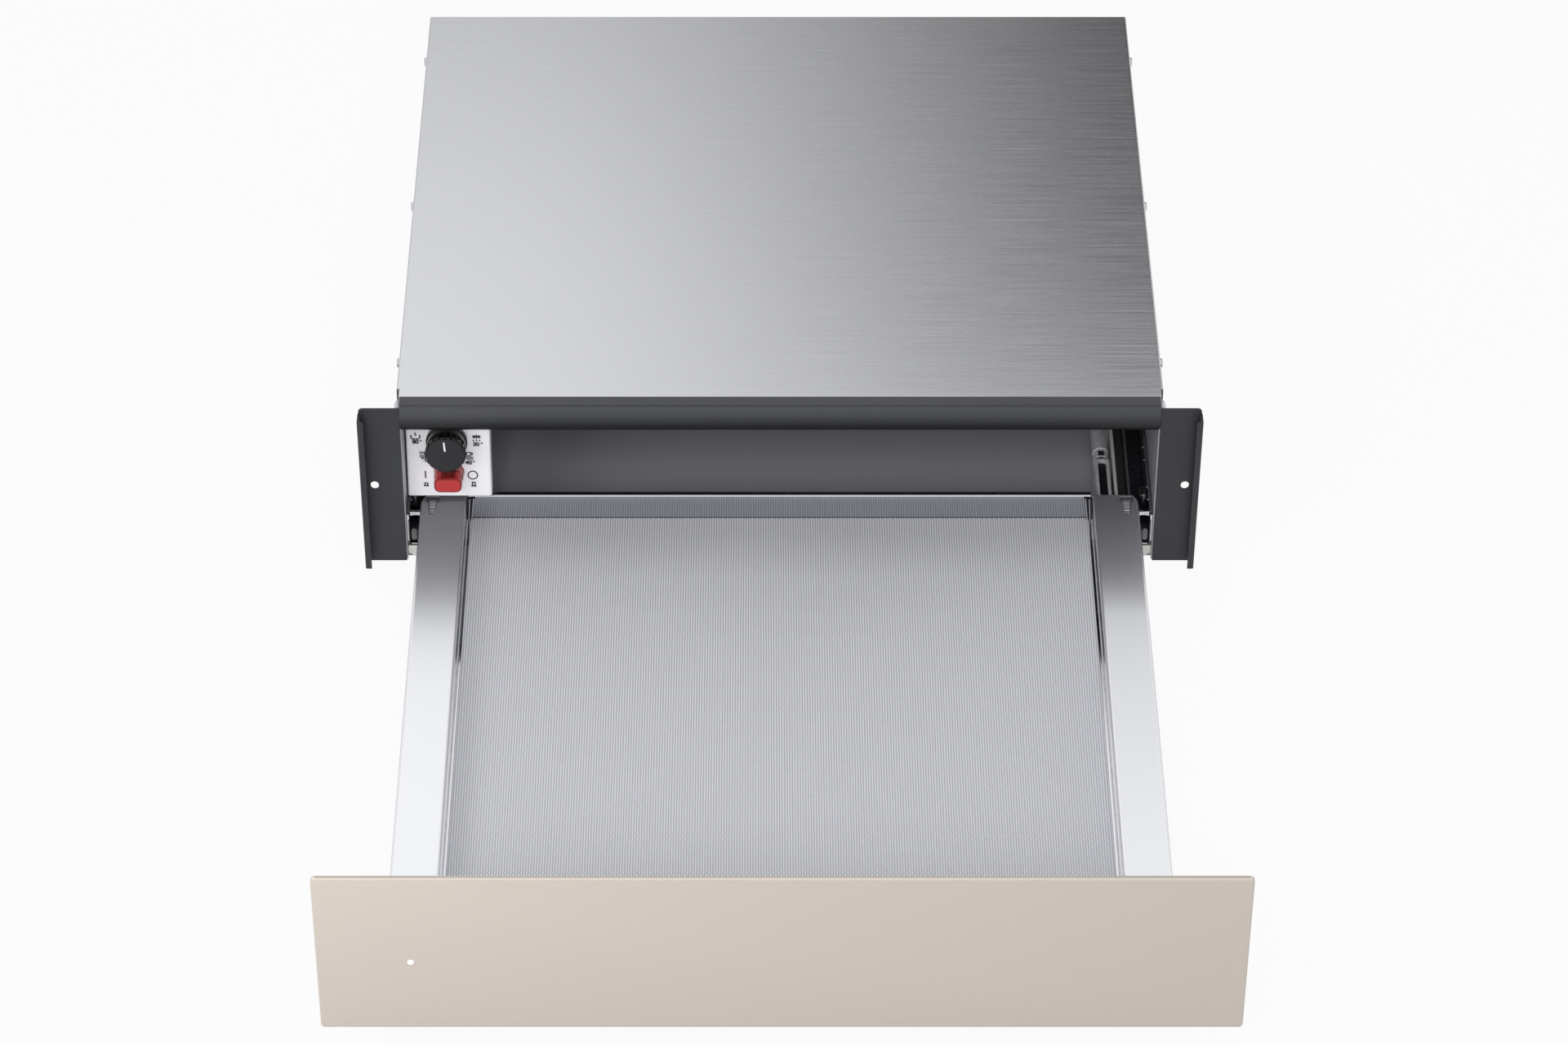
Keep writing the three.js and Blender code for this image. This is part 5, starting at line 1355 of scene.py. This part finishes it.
clip_plastic = finish("clip_plastic", linear(148, 149, 154), 0.36)
grain(clip_plastic, 900, 4, colour=0.06, rough=0.05)
wear_both(rear_catch("rear_catch_right"), clip_plastic, "drawer", "grey_plastic", "rear_clip_right")
clip_cover = block(
    "catch_cover_right", (CATCH_X - 0.0044, 0.0150, 0.0376), (CATCH_X + 0.0044, 0.0212, 0.0394),
)
ease(clip_cover, 0.0004, 3)
cover_plastic = finish("cover_plastic", linear(88, 89, 93), 0.42)
grain(cover_plastic, 900, 4, colour=0.06, rough=0.05)
wear_both(clip_cover, cover_plastic, "drawer", "grey_plastic")
clip_bar = rod(
    "catch_bar_right", (CATCH_X - 0.0019, 0.0078, 0.0392), (CATCH_X + 0.0019, 0.0078, 0.0392), 0.0011, 24,
)
ease(clip_bar, 0.0003, 2)
wear_both(clip_bar, bright_steel, "drawer", "chrome")


# Glass front.
# A pane of toughened glass 4 mm thick, painted warm beige on its back, with a satin face, ground
# edges and small rounded corners.

GLASS_FRONT, GLASS_REAR = -0.4810, -0.4770
GLASS_BOTTOM, GLASS_TOP = 0.008, 0.140
LENS_Z = 0.0667
pane = block("glass_pane", (-OUTER, GLASS_FRONT, GLASS_BOTTOM), (OUTER, GLASS_REAR, GLASS_TOP))
pick(pane, "EDGE", lambda edge: span(edge, "y") > 0.001)
round_off(0.003, 8)
close(pane)
bake(pane, "BEVEL", width=0.0011, segments=3, limit_method="ANGLE", angle_limit=math.radians(60))
cut(pane, rod("lens_hole", (DIAL[0], -0.49, LENS_Z), (DIAL[0], -0.47, LENS_Z), 0.00268, 40))
close(pane)
shade(pane, 30)
beige_glass = finish("beige_glass", linear(200, 190, 180), 0.34, Coat_Weight=0.3, Coat_Roughness=0.3)
grain(beige_glass, 2400, 6, colour=0.02, rough=0.03, detail=2)
wear(pane, beige_glass, "drawer", "beige_glass", "glass_front")
ground_edge = finish("ground_edge", linear(166, 156, 147), 0.45)
grain(ground_edge, (2400, 300, 2400), 8, colour=0.05, rough=0.05, detail=2)
pane.data.materials.append(ground_edge)
for face in pane.data.polygons:
    if abs(face.normal.y) < 0.2 and face.area > 1e-5:
        face.material_index = 1


# Indicator lens.
# The pale domed end of the light guide in the glass, straight in front of the temperature knob.
# It is a short plastic rod with a rounded nose that fills a hole in the pane.

lens_front, lens_back = GLASS_FRONT - 0.0002, GLASS_FRONT + 0.0138
lens = rod("lens", (DIAL[0], lens_front, LENS_Z), (DIAL[0], lens_back, LENS_Z), 0.0026, 32)
pick(lens, "FACE", lambda face: face.normal.y < -0.9)
round_off(0.0007, 4)
close(lens)
shade(lens, 40)
lens_plastic = finish("lens_plastic", linear(252, 247, 242), 0.25, Subsurface_Weight=0.1)
grain(lens_plastic, 600, 3, colour=0.02)
wear(lens, lens_plastic, "drawer", "clear_lens", "indicator_lens")


# Front carrier, braces and striker.
# The zinc-plated plate glued behind the glass, the two angles that hold the drawer sides to it
# and the striker that meets the push latch.

dress(zinc_steel, "front_carrier", "front_brace_left", "front_brace_right", "latch_striker")


# Push latch.
# A black plastic housing on the floor at the rear, with a grey sprung plunger that the striker
# under the tray meets when the drawer is pushed home.

dress(gland_plastic, "latch_housing")
dress(damper_plastic, "latch_plunger")
